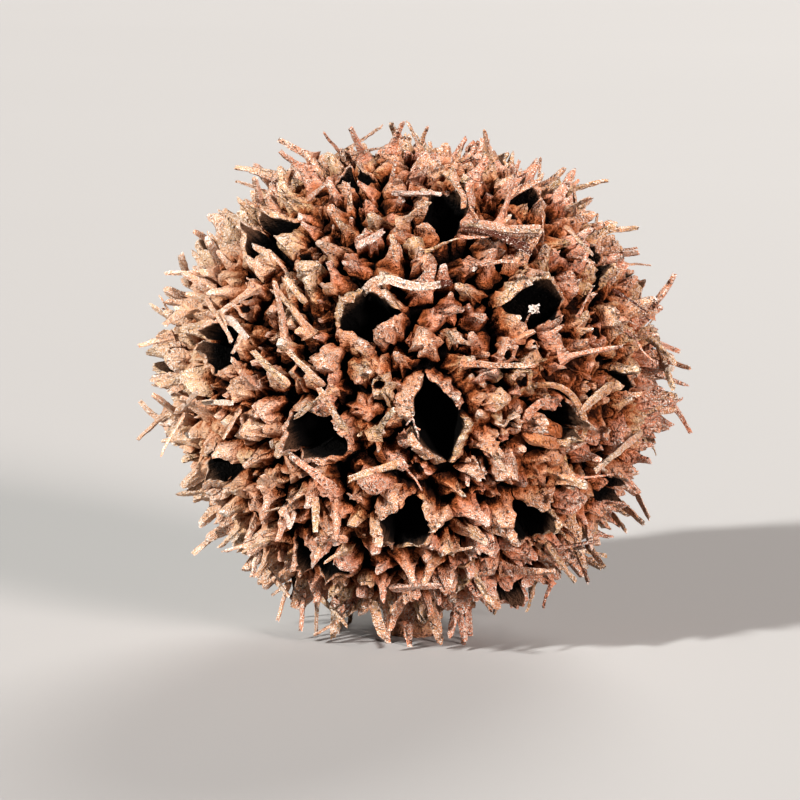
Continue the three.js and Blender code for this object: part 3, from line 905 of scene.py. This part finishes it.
def makeHead():
    look, form = headLook, bmesh.new()
    bmesh.ops.create_icosphere(form, subdivisions=look["subdivisions"], radius=1)
    directions = unit(np.array([v.co[:] for v in form.verts]))
    faces = np.array([[v.index for v in f.verts] for f in form.faces])
    form.free()
    halfLong = capsuleRules["length"] / 2 * capsules["size"][:, 0]
    halfWide = capsuleRules["width"] / 2 * capsules["size"][:, 1]
    inside = insideMouth(directions * ball["shoulderRadius"], halfLong, halfWide).min(1)
    points = directions * np.interp(inside, *look["funnel"])[:, None]
    size, seed, strong = look["wave"]
    points = points + swayOf(points, size, seed) * strong * ease(*look["waveOutside"], inside)[:, None]
    skin = Skin("head_core")
    skin.addPoints(points, {
        "rise": riseOf(points),
        "inner": 1 - ease(*look["wallEnds"], inside),
        "shade": look["shade"],
    })
    skin.triangles.append(faces)
    return skin.build()


# Spines and torn strips.
spineLook = {
    "layers": 13,
    "around": 8,
    "length": (1.4, 3.6),
    "lean": (0.7, 2.6),
    "thick": (0.15, 0.22),
    "flat": (0.4, 0.75),
    "bend": 0.035,
    "taper": [2.2, 1.55, 1.2, 1.02, 0.95, 0.9, 0.86, 0.82, 0.78, 0.74, 0.7, 0.68, 0.62],
    "root": (0.8, 0.25),  # below the beak's tip, and back from its lean
    "underFloor": 0.1,
    "trims": (60, 0.1),  # how often one that passes the ball's reach is cut, and how much each time
}
hairLook = {  # thinner ones, which the solid leaves out
    **spineLook,
    "share": 0.16,
    "length": (0.8, 2.1),
    "lean": (1.5, 4.5),
    "thick": (0.07, 0.12),
    "bend": 0.08,
    "from": (0.94, 0.985),  # their roots and starts, as shares of the beak's height
    "swing": 2,
}
stripLook = {
    "rootRadius": 12.9,
    "anchorRadius": 12.9,  # where those that stand out at the edge are rooted
    "broad": 0.45,
    "broadEnds": (0.3, 1.6),
    "backShare": 0.35,  # strips that lie this squarely to the camera are laid on the far side too
    "backClear": (2.4, 1.9),  # of the mouths there
    "taper": [0.7, 1.0, 1.12, 1.1, 1.04, 1.0, 0.98, 0.95, 0.93, 0.9, 0.88, 0.86, 0.8],
    "flat": (0.35, 0.7),
    "twist": 1.2,
    "pale": 0.5,
    "firstNumber": 7000,
    "straight": [  # in the picture: root x, y and tip x, y; width, radius of the tip, paleness
        (275, 174, 250, 172, 0.24, 14.0, 0.2), (328, 144, 381, 127, 0.36, 14.4, 0.1),
        (338, 148, 386, 147, 0.24, 14.2, 0.0), (399, 146, 391, 123, 0.34, 14.4, 0.5),
        (421, 151, 408, 122, 0.30, 14.4, 0.2), (308, 200, 328, 181, 0.32, 14.0, 0.4),
        (357, 247, 383, 231, 0.42, 14.1, 0.9), (397, 261, 392, 235, 0.30, 14.1, 0.4),
        (306, 303, 284, 277, 0.32, 14.0, 0.3), (288, 386, 254, 352, 0.42, 14.2, 0.3),
        (324, 386, 289, 352, 0.36, 14.2, 0.5), (347, 433, 319, 389, 0.36, 14.2, 0.4),
        (206, 297, 232, 341, 0.22, 13.8, 0.2), (222, 312, 230, 342, 0.20, 13.8, 0.1),
        (227, 317, 247, 337, 0.36, 14.1, 1.0), (241, 336, 233, 353, 0.26, 14.0, 0.6),
        (186, 283, 181, 254, 0.42, 14.2, 0.5), (176, 323, 151, 305, 0.38, 14.4, 0.1),
        (213, 242, 195, 232, 0.32, 14.3, 0.2), (260, 201, 255, 179, 0.38, 14.3, 0.5),
        (350, 211, 349, 184, 0.22, 14.0, 0.1), (391, 182, 396, 160, 0.24, 14.2, 0.1),
        (392, 193, 441, 194, 0.28, 14.3, 0.9), (503, 198, 540, 180, 0.50, 14.3, 0.1),
        (554, 203, 575, 169, 0.50, 14.6, 0.5), (566, 210, 591, 197, 0.32, 14.7, 0.3),
        (458, 238, 498, 235, 0.22, 14.1, 0.1), (566, 227, 592, 254, 0.30, 14.4, 0.0),
        (620, 254, 638, 253, 0.30, 14.6, 0.4), (668, 326, 673, 388, 0.40, 14.3, 0.0),
        (670, 358, 691, 368, 0.28, 14.7, 0.1), (657, 368, 673, 369, 0.36, 14.5, 1.0),
        (179, 415, 154, 395, 0.38, 14.5, 0.1), (178, 413, 198, 391, 0.30, 14.3, 0.6),
        (204, 402, 233, 403, 0.28, 14.2, 0.9), (240, 409, 224, 438, 0.32, 14.2, 0.3),
        (338, 491, 290, 456, 0.42, 14.1, 0.2), (403, 462, 349, 479, 0.38, 14.1, 0.1),
        (316, 497, 315, 532, 0.36, 14.1, 0.2), (347, 539, 316, 539, 0.38, 14.1, 0.2),
        (223, 527, 194, 554, 0.36, 14.4, 0.3), (270, 539, 243, 550, 0.30, 14.2, 0.4),
        (259, 552, 252, 576, 0.34, 14.3, 0.6), (261, 566, 288, 595, 0.30, 14.2, 0.1),
        (286, 512, 290, 527, 0.26, 13.9, 0.9), (294, 512, 291, 527, 0.24, 13.9, 0.8),
        (317, 605, 346, 625, 0.32, 14.3, 0.2), (371, 599, 384, 639, 0.50, 14.6, 0.4),
        (432, 608, 441, 644, 0.52, 14.7, 0.2), (456, 608, 450, 638, 0.46, 14.6, 0.1),
        (391, 588, 440, 586, 0.40, 14.2, 0.5), (330, 612, 333, 637, 0.42, 14.4, 0.6),
        (313, 606, 316, 633, 0.42, 14.4, 0.5), (296, 604, 300, 632, 0.42, 14.4, 0.4),
        (277, 600, 275, 625, 0.36, 14.5, 0.3), (641, 432, 596, 471, 0.34, 14.3, 0.7),
        (613, 383, 580, 412, 0.55, 14.1, 0.3), (546, 543, 575, 581, 0.32, 14.4, 0.3),
        (556, 549, 598, 541, 0.36, 14.3, 0.2), (579, 553, 588, 582, 0.32, 14.6, 0.1),
        (577, 553, 601, 568, 0.34, 14.6, 0.2), (588, 546, 604, 567, 0.30, 14.6, 0.1),
        (576, 546, 583, 551, 0.38, 14.6, 1.0), (637, 487, 649, 518, 0.32, 14.7, 0.8),
        (621, 503, 643, 523, 0.38, 14.6, 0.2), (613, 514, 626, 531, 0.26, 14.6, 0.1),
    ],
    "bent": [  # width, paleness, warmth, darkness, and the picture's points with their radii
        (0.44, 0.9, 0, 0, [
            (364, 294, 12.6), (372, 282, 13.5), (388, 277, 13.9),
            (402, 284, 14.0), (424, 287, 14.2), (448, 283, 14.4),
        ]),
        (0.42, 0.0, 0, 1.0, [(441, 284.5, 14.38), (446, 283.5, 14.46), (451, 282, 14.5)]),
        (0.32, 0.3, 0, 0, [
            (431, 181, 13.2), (444, 171, 13.8), (455, 180, 13.9),
            (464, 196, 13.9), (463, 208, 13.5),
        ]),
        (0.30, 0.2, 0.3, 0, [
            (538, 385, 13.2), (556, 384, 13.6), (570, 393, 13.8),
            (581, 408, 13.8), (587, 424, 13.7), (583, 438, 13.4),
        ]),
        (0.80, 0.0, 0.8, 0, [(538, 424, 12.3), (547, 426, 12.9), (556, 430, 12.9), (563, 437, 12.3)]),
        (0.60, 0.1, 0.6, 0, [(522, 434, 12.5), (536, 440, 13.0), (551, 444, 13.0), (565, 442, 12.4)]),
        (0.40, 0.1, 0.1, 0.1, [(524, 421, 12.6), (531, 410, 13.0), (541, 402, 13.1), (553, 401, 12.8)]),
        (0.09, 1.0, 0, 0, [
            (407, 425, 13.3), (413, 417.5, 13.7), (414.5, 426, 13.8),
            (418, 432, 13.7), (419, 439, 13.6),
        ]),
        (0.10, 0.5, 0, 0, [(414.5, 426, 13.8), (420, 430, 13.9)]),
        (0.11, 0.2, 0, 0.5, [(524, 324, 12.6), (533, 310, 13.3)]),
        (0.30, 0.4, 0, 0, [(463, 221, 13.3), (482, 222, 14.0), (508, 228, 14.2), (541, 227, 14.1)]),
        (0.26, 0.6, 0, 0.2, [(467, 224, 13.3), (484, 226, 14.1), (509, 231, 14.3), (542, 231, 14.2)]),
        (0.28, 0.1, 0, 0.5, [(475, 227, 13.3), (492, 230, 14.0), (512, 235, 14.2), (538, 235, 14.0)]),
        (0.34, 0.1, 0, 0.8, [(464, 229, 13.3), (485, 231, 14.0), (509, 241, 14.2), (531, 253, 14.2)]),
        (0.24, 0.0, 0, 0.9, [(471, 220, 13.5), (492, 233, 14.1), (512, 239, 14.3), (529, 246, 14.3)]),
        (0.20, 0.0, 0, 0.9, [(612, 289, 13.5), (630, 300, 13.9), (647, 312, 14.0)]),
    ],
    "tuft": {
        "at": (534, 309, 13.4),
        "strips": 18,
        "length": (0.12, 0.36),
        "width": 0.15,
        "knee": 0.6,
        "bend": 0.4,
        "pale": 1.6,
    },
}
stripRules = {
    "squareness": 0.6,
    "wobble": 0.2,
    "wave": (0.45, 41, 0.05),  # size, seed and strength
    "ragged": 2,  # how far the broken ends stand out, in thicknesses
    "tipStage": (0.9, 1.0),
    "tipPale": (0.05, 0.35),
    "rise": (0.6, 0.92),
}


def growStrips(skin, middles, first, second, thick, flat, numbers, pale, seed=0, warm=0.0, dark=0.0):
    rules, layers, around = stripRules, middles.shape[1], spineLook["around"]
    t = np.linspace(0, 1, layers)
    angles = (np.arange(around) + 0.5) * 2 * math.pi / around
    cos, sin = (np.sign(f) * np.abs(f) ** rules["squareness"] for f in (np.cos(angles), np.sin(angles)))
    wobble = np.sin(3 * angles[None, None] + 4 * t[None, :, None] + numbers[:, None, None])
    wobble = 1 + rules["wobble"] * wobble
    wide = cos[None, None] * thick[..., None] * wobble
    deep = sin[None, None] * thick[..., None] * wobble
    deep = deep * blend(1.0, flat[:, None, None], ease(0.0, 0.3, t)[None, :, None])
    points = middles[:, :, None] + first[:, :, None] * wide[..., None] + second[:, :, None] * deep[..., None]
    size, waveSeed, strong = rules["wave"]
    points = points + swayOf(points, size, waveSeed + seed) * strong
    ragged = (draw(numbers[:, None] * 11 + np.arange(around), 88) - 0.5) * rules["ragged"] * thick[:, -1:]
    points[:, -1] = points[:, -1] + unit(middles[:, -1] - middles[:, -2])[:, None] * ragged[..., None]
    least, more = rules["tipPale"]
    tip = ease(*rules["tipStage"], t)[None, :, None] * (least + more * draw(numbers, 86) ** 2)[:, None, None]

    def spread(value):  # one value for each strip, over all its points
        return np.broadcast_to(np.broadcast_to(value, numbers.shape)[:, None, None], points.shape[:-1])

    skin.addLofts(points, {
        "rise": blend(*rules["rise"], t)[None, :, None],
        "pale": np.maximum(tip, spread(pale)),
        "ridge": np.abs(np.cos(angles))[None, None] ** 2,
        "shade": spread(draw(numbers, 87)),
        "warm": spread(warm),
        "dark": spread(dark),
    })


def growSpines(skin, roots, ends, numbers, look, seed=0):
    along = ends - roots
    length = np.linalg.norm(along, axis=1)
    first, second = tangentsOf(unit(along))
    twist = anyAngle(numbers, 81)
    first, second = turned(first, second, twist), turned(second, -first, twist)
    t = np.linspace(0, 1, look["layers"])
    bend = look["bend"] * length * (2 * draw(numbers, 82) - 1)
    curl = look["bend"] * length * (2 * draw(numbers, 83) - 1)
    middles = roots[:, None] + along[:, None] * t[None, :, None]
    middles = middles + first[:, None] * (bend[:, None] * np.sin(math.pi * t))[..., None]
    middles = middles + second[:, None] * (curl[:, None] * np.sin(2 * math.pi * t) * 0.5)[..., None]
    thick = blend(*look["thick"], draw(numbers, 84))[:, None] * np.array(look["taper"])
    flat = blend(*look["flat"], draw(numbers, 85))
    growStrips(skin, middles, first[:, None], second[:, None], thick, flat, numbers, 0.0, seed)


def spineEnds(numbers, lengths, slopes, tips, lean):
    direction = unit(unit(tips) + lean * slopes[:, None])
    lengths = lengths.copy()
    times, cut = spineLook["trims"]
    for _ in range(times):
        far = np.linalg.norm(tips + direction * lengths[:, None], axis=1) > ball["reach"]
        lengths[far] -= cut
    return tips + direction * lengths[:, None]


def alongPath(points, layers):  # a smooth path through a few points
    points = np.asarray(points)
    far = np.linalg.norm(np.diff(points, axis=0), axis=1)
    stops = np.concatenate([[0], np.cumsum(far)]) / far.sum()
    wanted = np.linspace(0, 1, layers)
    straight = np.stack([np.interp(wanted, stops, points[:, k]) for k in range(3)], 1)
    if len(points) == 2:
        return straight
    padded = np.vstack([2 * straight[0] - straight[1], straight, 2 * straight[-1] - straight[-2]])
    return (padded[:-2] + 2 * padded[1:-1] + padded[2:]) / 4


def straightPaths(layers):  # those placed by the picture, and the same ones on the far side
    look = stripLook
    rows = np.array(look["straight"])
    roots = onBall(rows[:, 0], rows[:, 1], look["rootRadius"])
    roots = roots * np.minimum(look["anchorRadius"] / np.linalg.norm(roots, axis=1), 1)[:, None]
    tips = onBall(rows[:, 2], rows[:, 3], rows[:, 5])
    tips = tips / np.maximum(np.linalg.norm(tips, axis=1, keepdims=True) / ball["reach"], 1)
    paths = [alongPath([a, b], layers) for a, b in zip(roots, tips)]
    facts = [(row[4], row[6], 0, 0) for row in rows]
    for i in np.flatnonzero(unit(roots) @ towardsCamera() > look["backShare"]):
        path = paths[i] * np.array([-1, -1, 1])
        if (insideMouth(path[0], *look["backClear"]) > 1).all():
            paths.append(path)
            facts.append(facts[i])
    return paths, facts


def tuftPaths(layers):  # the frayed head of the pin in a mouth
    tuft = stripLook["tuft"]
    heart = onBall(*tuft["at"])
    paths = []
    for k, direction in enumerate(spiralDirections(tuft["strips"])):
        length = blend(*tuft["length"], draw(k, 104))
        bend = np.cross(direction, up) * length * tuft["bend"]
        knee = heart + direction * length * tuft["knee"]
        paths.append(alongPath([heart, knee, heart + direction * length + bend], layers))
    return paths, [(tuft["width"], tuft["pale"], 0, 0)] * len(paths)


def makeStrips():
    look, layers = stripLook, spineLook["layers"]
    skin = Skin("torn_strips")
    paths, facts = straightPaths(layers)
    for width, pale, warm, dark, points in look["bent"]:
        x, y, radius = np.array(points, float).T
        paths.append(alongPath(onBall(x, y, radius), layers))
        facts.append((width, pale, warm, dark))
    tuft, tuftFacts = tuftPaths(layers)
    middles, numbers = np.array(paths + tuft), np.arange(len(paths + tuft)) + look["firstNumber"]
    width, pale, warm, dark = np.array(facts + tuftFacts, float).T
    along = unit(np.gradient(middles, axis=1))
    first = unit(np.cross(along, unit(middles) + 0.1 * towardsCamera()))
    second = np.cross(first, along)
    twist = (draw(numbers, 102) - 0.5)[:, None] * look["twist"]
    first, second = turned(first, second, twist), turned(second, -first, twist)
    least, swell = look["broadEnds"]
    ends = np.minimum(1, least + swell * np.sin(math.pi * np.linspace(0, 1, layers)))
    thick = width[:, None] / 2 * np.array(look["taper"]) * np.where(width[:, None] > look["broad"], ends, 1)
    flat = blend(*look["flat"], draw(numbers, 103))
    growStrips(skin, middles, first, second, thick, flat, numbers, pale * look["pale"], 5, warm, dark)
    return skin.build(sharp=creaseAngle)


def makeSpines():
    look, skin = spineLook, Skin("spines")
    n = np.flatnonzero(spined)
    tips, lean = cadTips[n], scaleLean[n]
    ends = spineEnds(n, blend(*look["length"], draw(n, 14)), blend(*look["lean"], draw(n, 13)), tips, lean)
    floor = -ball["centreHeight"] / ball["flatten"] - look["underFloor"]
    ends[standing[n]] = np.column_stack([tips[standing[n], :2], np.full(standing.sum(), floor)])
    below, back = look["root"]
    growSpines(skin, tips - unit(tips) * below - lean * back, ends, n, look)
    look = hairLook
    hairs = np.flatnonzero((draw(scaleNumbers, 90) < look["share"]) & ~spined)
    lean = turned(scaleLean[hairs], scaleSide[hairs], look["swing"] * (draw(hairs, 91) - 0.5))
    lengths, slopes = blend(*look["length"], draw(hairs, 92)), blend(*look["lean"], draw(hairs, 93))
    rootShare, startShare = look["from"]
    ends = spineEnds(hairs, lengths, slopes, cadTips[hairs] * startShare, lean)
    growSpines(skin, cadTips[hairs] * rootShare, ends, hairs, look, 3)
    return skin.build(sharp=creaseAngle)


stalkLook = {
    "around": 40,
    "levels": [9.4, 10.4, 10.9, 11.4, 12.0, 12.5, 13.2, 13.8, 14.3],  # below the middle of the ball
    "outline": ([9.4, 10.9, 11.6, 12.5, 15], [2.1, 2.1, 1.65, 1.35, 1.3]),
    "fibres": [(9, 1, 0.05), (17, 0, 0.04)],  # how many round it, their turn and height
}


def makeStalk():
    look = stalkLook
    angles = np.arange(look["around"]) * 2 * math.pi / look["around"]
    low = np.array(look["levels"])
    radius = np.interp(low, *look["outline"])
    fibre = 1
    for count, turn, high in look["fibres"]:
        fibre = fibre + high * np.sin(count * angles + turn)
    ring = raysOf(away[None], right[None], angles)
    points = down * low[:, None, None] + ring[None] * (radius[:, None] * fibre[None])[..., None]
    skin = Skin("stalk_stub")
    skin.addLofts(points[None], {"rise": 0.6, "shade": 0.4, "pale": 0.0, "ridge": 0.3})
    return skin.build()


# Shading.
class Reading:  # one value in a material, that expressions are written with
    def __init__(self, finish, socket):
        self.finish, self.socket = finish, socket

    def math(self, operation, *values):
        return self.finish.node("ShaderNodeMath", {"operation": operation}, values)

    def __add__(self, other):
        return self.math("ADD", self, other)

    __radd__ = __add__

    def __sub__(self, other):
        return self.math("SUBTRACT", self, other)

    def __rsub__(self, other):
        return self.math("SUBTRACT", other, self)

    def __mul__(self, other):
        return self.math("MULTIPLY", self, other)

    __rmul__ = __mul__

    def within(self, low, high):  # 0 below low, 1 above high, smooth between
        settings = {"interpolation_type": "SMOOTHSTEP"}
        sockets = {"Value": self, "From Min": low, "From Max": high}
        return self.finish.node("ShaderNodeMapRange", settings, sockets)


class Finish:  # a material, or the world, whose nodes are made by one method
    def __init__(self, owner):
        self.owner = owner
        owner.use_nodes = True
        self.tree = owner.node_tree
        self.tree.nodes.clear()

    def node(self, kind, settings=None, sockets=(), output=0):
        made = self.tree.nodes.new(kind)
        for key, value in (settings or {}).items():
            setattr(made, key, value)
        usable = [s for s in made.inputs if s.enabled]
        pairs = sockets.items() if isinstance(sockets, dict) else enumerate(sockets)
        for key, value in pairs:
            socket = usable[key] if isinstance(key, int) else next(s for s in usable if s.name == key)
            if isinstance(value, Reading):
                self.tree.links.new(value.socket, socket)
            elif isinstance(value, tuple) and len(value) == 3 and socket.type == "RGBA":
                socket.default_value = (*value, 1)
            else:
                socket.default_value = value
        outputs = [s for s in made.outputs if s.enabled]
        if not outputs:
            return made
        wanted = outputs[output] if isinstance(output, int) else next(s for s in outputs if s.name == output)
        return Reading(self, wanted)

    def value(self, name):
        return self.node("ShaderNodeAttribute", {"attribute_name": name}, output="Fac")

    def mix(self, share, first, second):
        settings = {"data_type": "RGBA", "clamp_factor": True}
        sockets = {"Factor": share, "A": first, "B": second}
        return self.node("ShaderNodeMix", settings, sockets, output="Result")

    def grain(self, place, size, detail=3, roughness=0.55):
        sockets = {"Vector": place, "Scale": 1 / size, "Detail": detail, "Roughness": roughness}
        return self.node("ShaderNodeTexNoise", {}, sockets, output="Fac")

    def close(self, sockets):
        surface = self.node("ShaderNodeBsdfPrincipled", {}, sockets)
        self.node("ShaderNodeOutputMaterial", {}, {"Surface": surface})
        return self.owner


huskColours = {  # linear
    # painted shade: cleft, root and flank darken the scales from their tops down into the clefts between them
    "cleftShade": (0.004, 0.0012, 0.0006),
    "root": (0.05, 0.013, 0.004),
    "flankShade": (0.33, 0.10, 0.032),
    "body": (0.57, 0.28, 0.155),
    "rosy": (0.57, 0.245, 0.15),
    "olive": (0.53, 0.33, 0.17),
    # painted light: the paler tone of the side towards the key light
    "litSideStraw": (0.68, 0.47, 0.31),
    "rust": (0.30, 0.075, 0.02),
    # cream and the near-white below: pale flecks and bleached tips, and a painted highlight on the higher
    # parts and ridges
    "cream": (0.78, 0.69, 0.60),
    "dry": (0.90, 0.87, 0.82),
    "wall": (0.10, 0.055, 0.034),
    "amber": (0.40, 0.115, 0.025),
    "plum": (0.10, 0.032, 0.02),
    # painted shade: near black deep in the capsules' hollows
    "deep": (0.0015, 0.0008, 0.0006),
}
huskGrains = {  # size in metres, detail, roughness
    "fine": (0.00007, 1, 0.5),
    "speck": (0.00015, 2, 0.6),
    "crust": (0.00034, 3, 0.7),
    "patch": (0.0013, 2, 0.5),
}
fibreGrain = (0.011, 2, 0.6)  # over a ball of one metre, so that it streaks from the roots to the beaks
huskSizes = {  # metres
    "heart": (0, 0, ball["centreHeight"] * 0.001),  # the middle of the ball
    "pore": 0.00033,
    "crack": 0.001,
    "bendSize": 0.0006,  # of the cracks
    "bend": 0.0007,
    "dryFrom": (0.003, 0.012),  # painted light: the side to the left, towards the key light, is painted paler and less rusty, with fewer pits and cracks and a smoother bump, from here on
    "bump": 0.00034,
}
huskSteps = {  # from where to where each finish comes in, over its own reading
    "rosy": (0.35, 0.9),
    "olive": (0.35, 0.9),
    "rust": (0.54, 0.76),
    "cream": (-0.06, 0.28),
    # painted highlight: the height from which cream flecks come in
    "creamHighlightRise": (0.4, 0.85),
    # painted shade: root, flank and body step the scales from the dark clefts up to their own colour by
    # height
    "root": (0.2, 0.46),
    "flankShade": (0.38, 0.56),
    "body": (0.46, 0.66),
    "flecks": (0.53, 0.64),
    # painted highlight: pale flecks kept to the ridges and the higher parts
    "ridgeHighlight": (0.6, 1.0),
    "riseHighlight": (0.45, 0.8),
    "dry": (0.1, 1.1),
    # painted shade: over the wall's height, from near black deep down to the wall's own tone
    "wall": (0.55, 1.0),
    "pore": (0.12, 0.34),
    "crackEdge": (0.01, 0.05),
    "crackPatch": (0.53, 0.62),
}


def makeHusk():
    c, size, step = huskColours, huskSizes, huskSteps
    husk = Finish(bpy.data.materials.new("dry_husk_skin"))
    place = husk.node("ShaderNodeTexCoord", output="Object")
    rise, ridge, pale, shade, inner, warm, dark = (husk.value(name) for name in skinValues)
    fromHeart = husk.node("ShaderNodeVectorMath", {"operation": "SUBTRACT"}, [place, size["heart"]])
    direction = husk.node("ShaderNodeVectorMath", {"operation": "NORMALIZE"}, [fromHeart])
    grains = {name: husk.grain(place, *rules) for name, rules in huskGrains.items()}
    fine, speck, crust, patch = grains.values()
    fibre = husk.grain(direction, *fibreGrain)
    across = husk.node("ShaderNodeSeparateXYZ", {}, [place], output="X")
    # painted light: a mask that paints the side towards the key light paler
    drySide = (0 - across).within(*size["dryFrom"])
    # pits and cracks: dented by the bump and painted dark, as painted shade in them
    cells = {"Vector": place, "Scale": 1 / size["pore"]}
    pore = husk.node("ShaderNodeTexVoronoi", {}, cells, output="Distance")
    pit = (1 - pore.within(*step["pore"])) * (1 - drySide * 0.7)
    jumble = {"Vector": place, "Scale": 1 / size["bendSize"], "Detail": 2}
    jumble = husk.node("ShaderNodeTexNoise", {}, jumble, output="Color")
    bend = (size["bend"],) * 3
    bent = husk.node("ShaderNodeVectorMath", {"operation": "MULTIPLY_ADD"}, [jumble, bend, place])
    cells = {"Vector": bent, "Scale": 1 / size["crack"]}
    edges = husk.node("ShaderNodeTexVoronoi", {"feature": "DISTANCE_TO_EDGE"}, cells, output="Distance")
    crack = (1 - edges.within(*step["crackEdge"])) * patch.within(*step["crackPatch"]) * (1 - drySide * 0.7)

    # the tops of the scales: their own tones and rust, with the side towards the key light painted paler as
    # painted light
    body = husk.mix(shade.within(*step["rosy"]), c["body"], c["rosy"])
    body = husk.mix((patch * 1.6 - shade).within(*step["olive"]), body, c["olive"])
    body = husk.mix(drySide * 0.55, body, c["litSideStraw"])
    stain = crust + (1 - ridge) * 0.12 + (speck - 0.5) * 0.8 + (fine - 0.5) * 1.6
    stain = stain + (fibre - 0.5) * 0.2 + pit * 0.1
    body = husk.mix(stain.within(*step["rust"]) * (0.9 - drySide * 0.35), body, c["rust"])
    # cream flecks, kept to the higher parts and raised on the ridges as a painted highlight
    creamAndHighlight = (fine - 0.5) * 2.6 + (speck - 0.5) * 1.1 + (fibre - 0.5) * 0.5 + ridge * 0.1 + (patch - 0.5) * 0.4
    creamAndHighlight = creamAndHighlight.within(*step["cream"]) * rise.within(*step["creamHighlightRise"]) * 0.72
    body = husk.mix(creamAndHighlight, body, c["cream"])
    # painted shade in the pits and cracks
    body = husk.mix(pit * (crust * 2.2 - 0.75), body, c["root"])
    body = husk.mix(crack * 0.6, body, c["root"])

    # painted shade: darker by height, from near black at the bottom of the clefts up to the tops; then pale
    # flecks, bleached tips and a painted highlight on the higher parts and ridges
    high = rise + (speck - 0.5) * 0.3 + ridge * 0.12
    skin = husk.mix(high.within(*step["root"]), c["cleftShade"], c["root"])
    skin = husk.mix(high.within(*step["flankShade"]), skin, c["flankShade"])
    skin = husk.mix(high.within(*step["body"]), skin, body)
    # pale flecks and bleached tips, with a painted highlight on the higher parts and ridges
    flecks = (fine * 0.6 + speck * 0.4).within(*step["flecks"])
    flecksAndHighlight = flecks * (0.55 + ridge.within(*step["ridgeHighlight"]) * 0.3) * rise.within(*step["riseHighlight"])
    dryness = pale * (0.35 + speck) + flecksAndHighlight + ridge * 0.06
    skin = husk.mix(dryness.within(*step["dry"]), skin, c["dry"])

    # the capsules' walls, painted from near black deep down, as painted shade, to their own grey-brown near
    # the rims, and the orange and scorched strips
    wall = husk.mix((rise + (fibre - 0.5) * 0.5).within(*step["wall"]), c["deep"], c["wall"])
    skin = husk.mix(inner, skin, wall)
    skin = husk.mix(warm * (0.5 + speck), skin, c["amber"])
    skin = husk.mix(dark * (1.2 - flecks), skin, c["plum"])
    height = (fine * 0.5 + speck * 0.7 + crust * 0.8) * (1 - drySide * 0.5)
    height = height + fibre * 0.3 - pit * 0.5 - crack * 0.5
    relief = {"Strength": 1.0, "Distance": size["bump"], "Height": height}
    bump = husk.node("ShaderNodeBump", {}, relief, output="Normal")
    rough = 0.8 - ridge * 0.15 + (speck - 0.5) * 0.3
    print("husk:", len(husk.tree.nodes), "nodes")
    return husk.close({"Base Color": skin, "Roughness": rough, "Normal": bump, "Specular IOR Level": 0.12})


floorLook = {
    "radius": 2.4,
    "grain": 0.2,
    "tones": ((0.35, 0.346, 0.342), (0.37, 0.366, 0.362)),
    "roughness": 0.9,
}


def makeFloor():
    look, form = floorLook, bmesh.new()
    bmesh.ops.create_circle(form, cap_ends=True, segments=96, radius=look["radius"])
    mesh = bpy.data.meshes.new("floor")
    form.to_mesh(mesh)
    form.free()
    floor = bpy.data.objects.new("floor", mesh)
    bpy.context.collection.objects.link(floor)
    paint = Finish(bpy.data.materials.new("pale_floor"))
    place = paint.node("ShaderNodeTexCoord", output="Object")
    tone = paint.mix(paint.grain(place, look["grain"]), *look["tones"])
    floor.data.materials.append(paint.close({"Base Color": tone, "Roughness": look["roughness"]}))
    print("floor")


lightRules = {
    "key": {"energy": 4.8, "spread": 4, "from": (-0.74, -0.72, 0.64), "colour": (1.0, 0.99, 0.96)},
    "fill": {"energy": 4.6, "spread": 18, "from": (0.75, -1.0, 0.35), "colour": (1.0, 0.88, 0.84)},
    "back": {"energy": 2.4, "spread": 30, "from": (0.3, 1.0, 0.5), "colour": (1.0, 0.97, 0.93)},
}
roomRules = {"colour": (0.95, 0.97, 1.0), "lights": 0.02, "seen": 0.6}  # dim as a light, pale where seen


def makeLights():
    for name, rules in lightRules.items():
        light = bpy.data.lights.new(name, "SUN")
        light.energy, light.color = rules["energy"], rules["colour"]
        light.angle = math.radians(rules["spread"])
        lamp = bpy.data.objects.new(name, light)
        lamp.rotation_mode = "QUATERNION"
        lamp.rotation_quaternion = Vector(rules["from"]).to_track_quat("Z", "Y")
        bpy.context.collection.objects.link(lamp)
    room = Finish(bpy.data.worlds.new("room"))
    seen = room.node("ShaderNodeLightPath", output="Is Camera Ray")
    walls = []
    for key in ("lights", "seen"):
        wall = {"Color": roomRules["colour"], "Strength": roomRules[key]}
        walls.append(room.node("ShaderNodeBackground", {}, wall))
    both = room.node("ShaderNodeMixShader", {}, [seen, *walls])
    room.node("ShaderNodeOutputWorld", {}, {"Surface": both})
    bpy.context.scene.world = room.owner
    bpy.context.scene.view_settings.view_transform = "Standard"
    bpy.context.scene.view_settings.look = "Medium High Contrast"
    print("lights:", len(lightRules))


makeFloor()
makeLights()
makeCamera()
dryHusk = makeHusk()
pieces = [makeHead(), *makeScales(), makeLumps(), makeValves(), makeSpines(), makeStrips(), makeStalk()]
for piece in pieces:
    piece.data.materials.append(dryHusk)
    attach(piece, "root")
    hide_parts("seed_head")
print("pieces:", len(pieces))
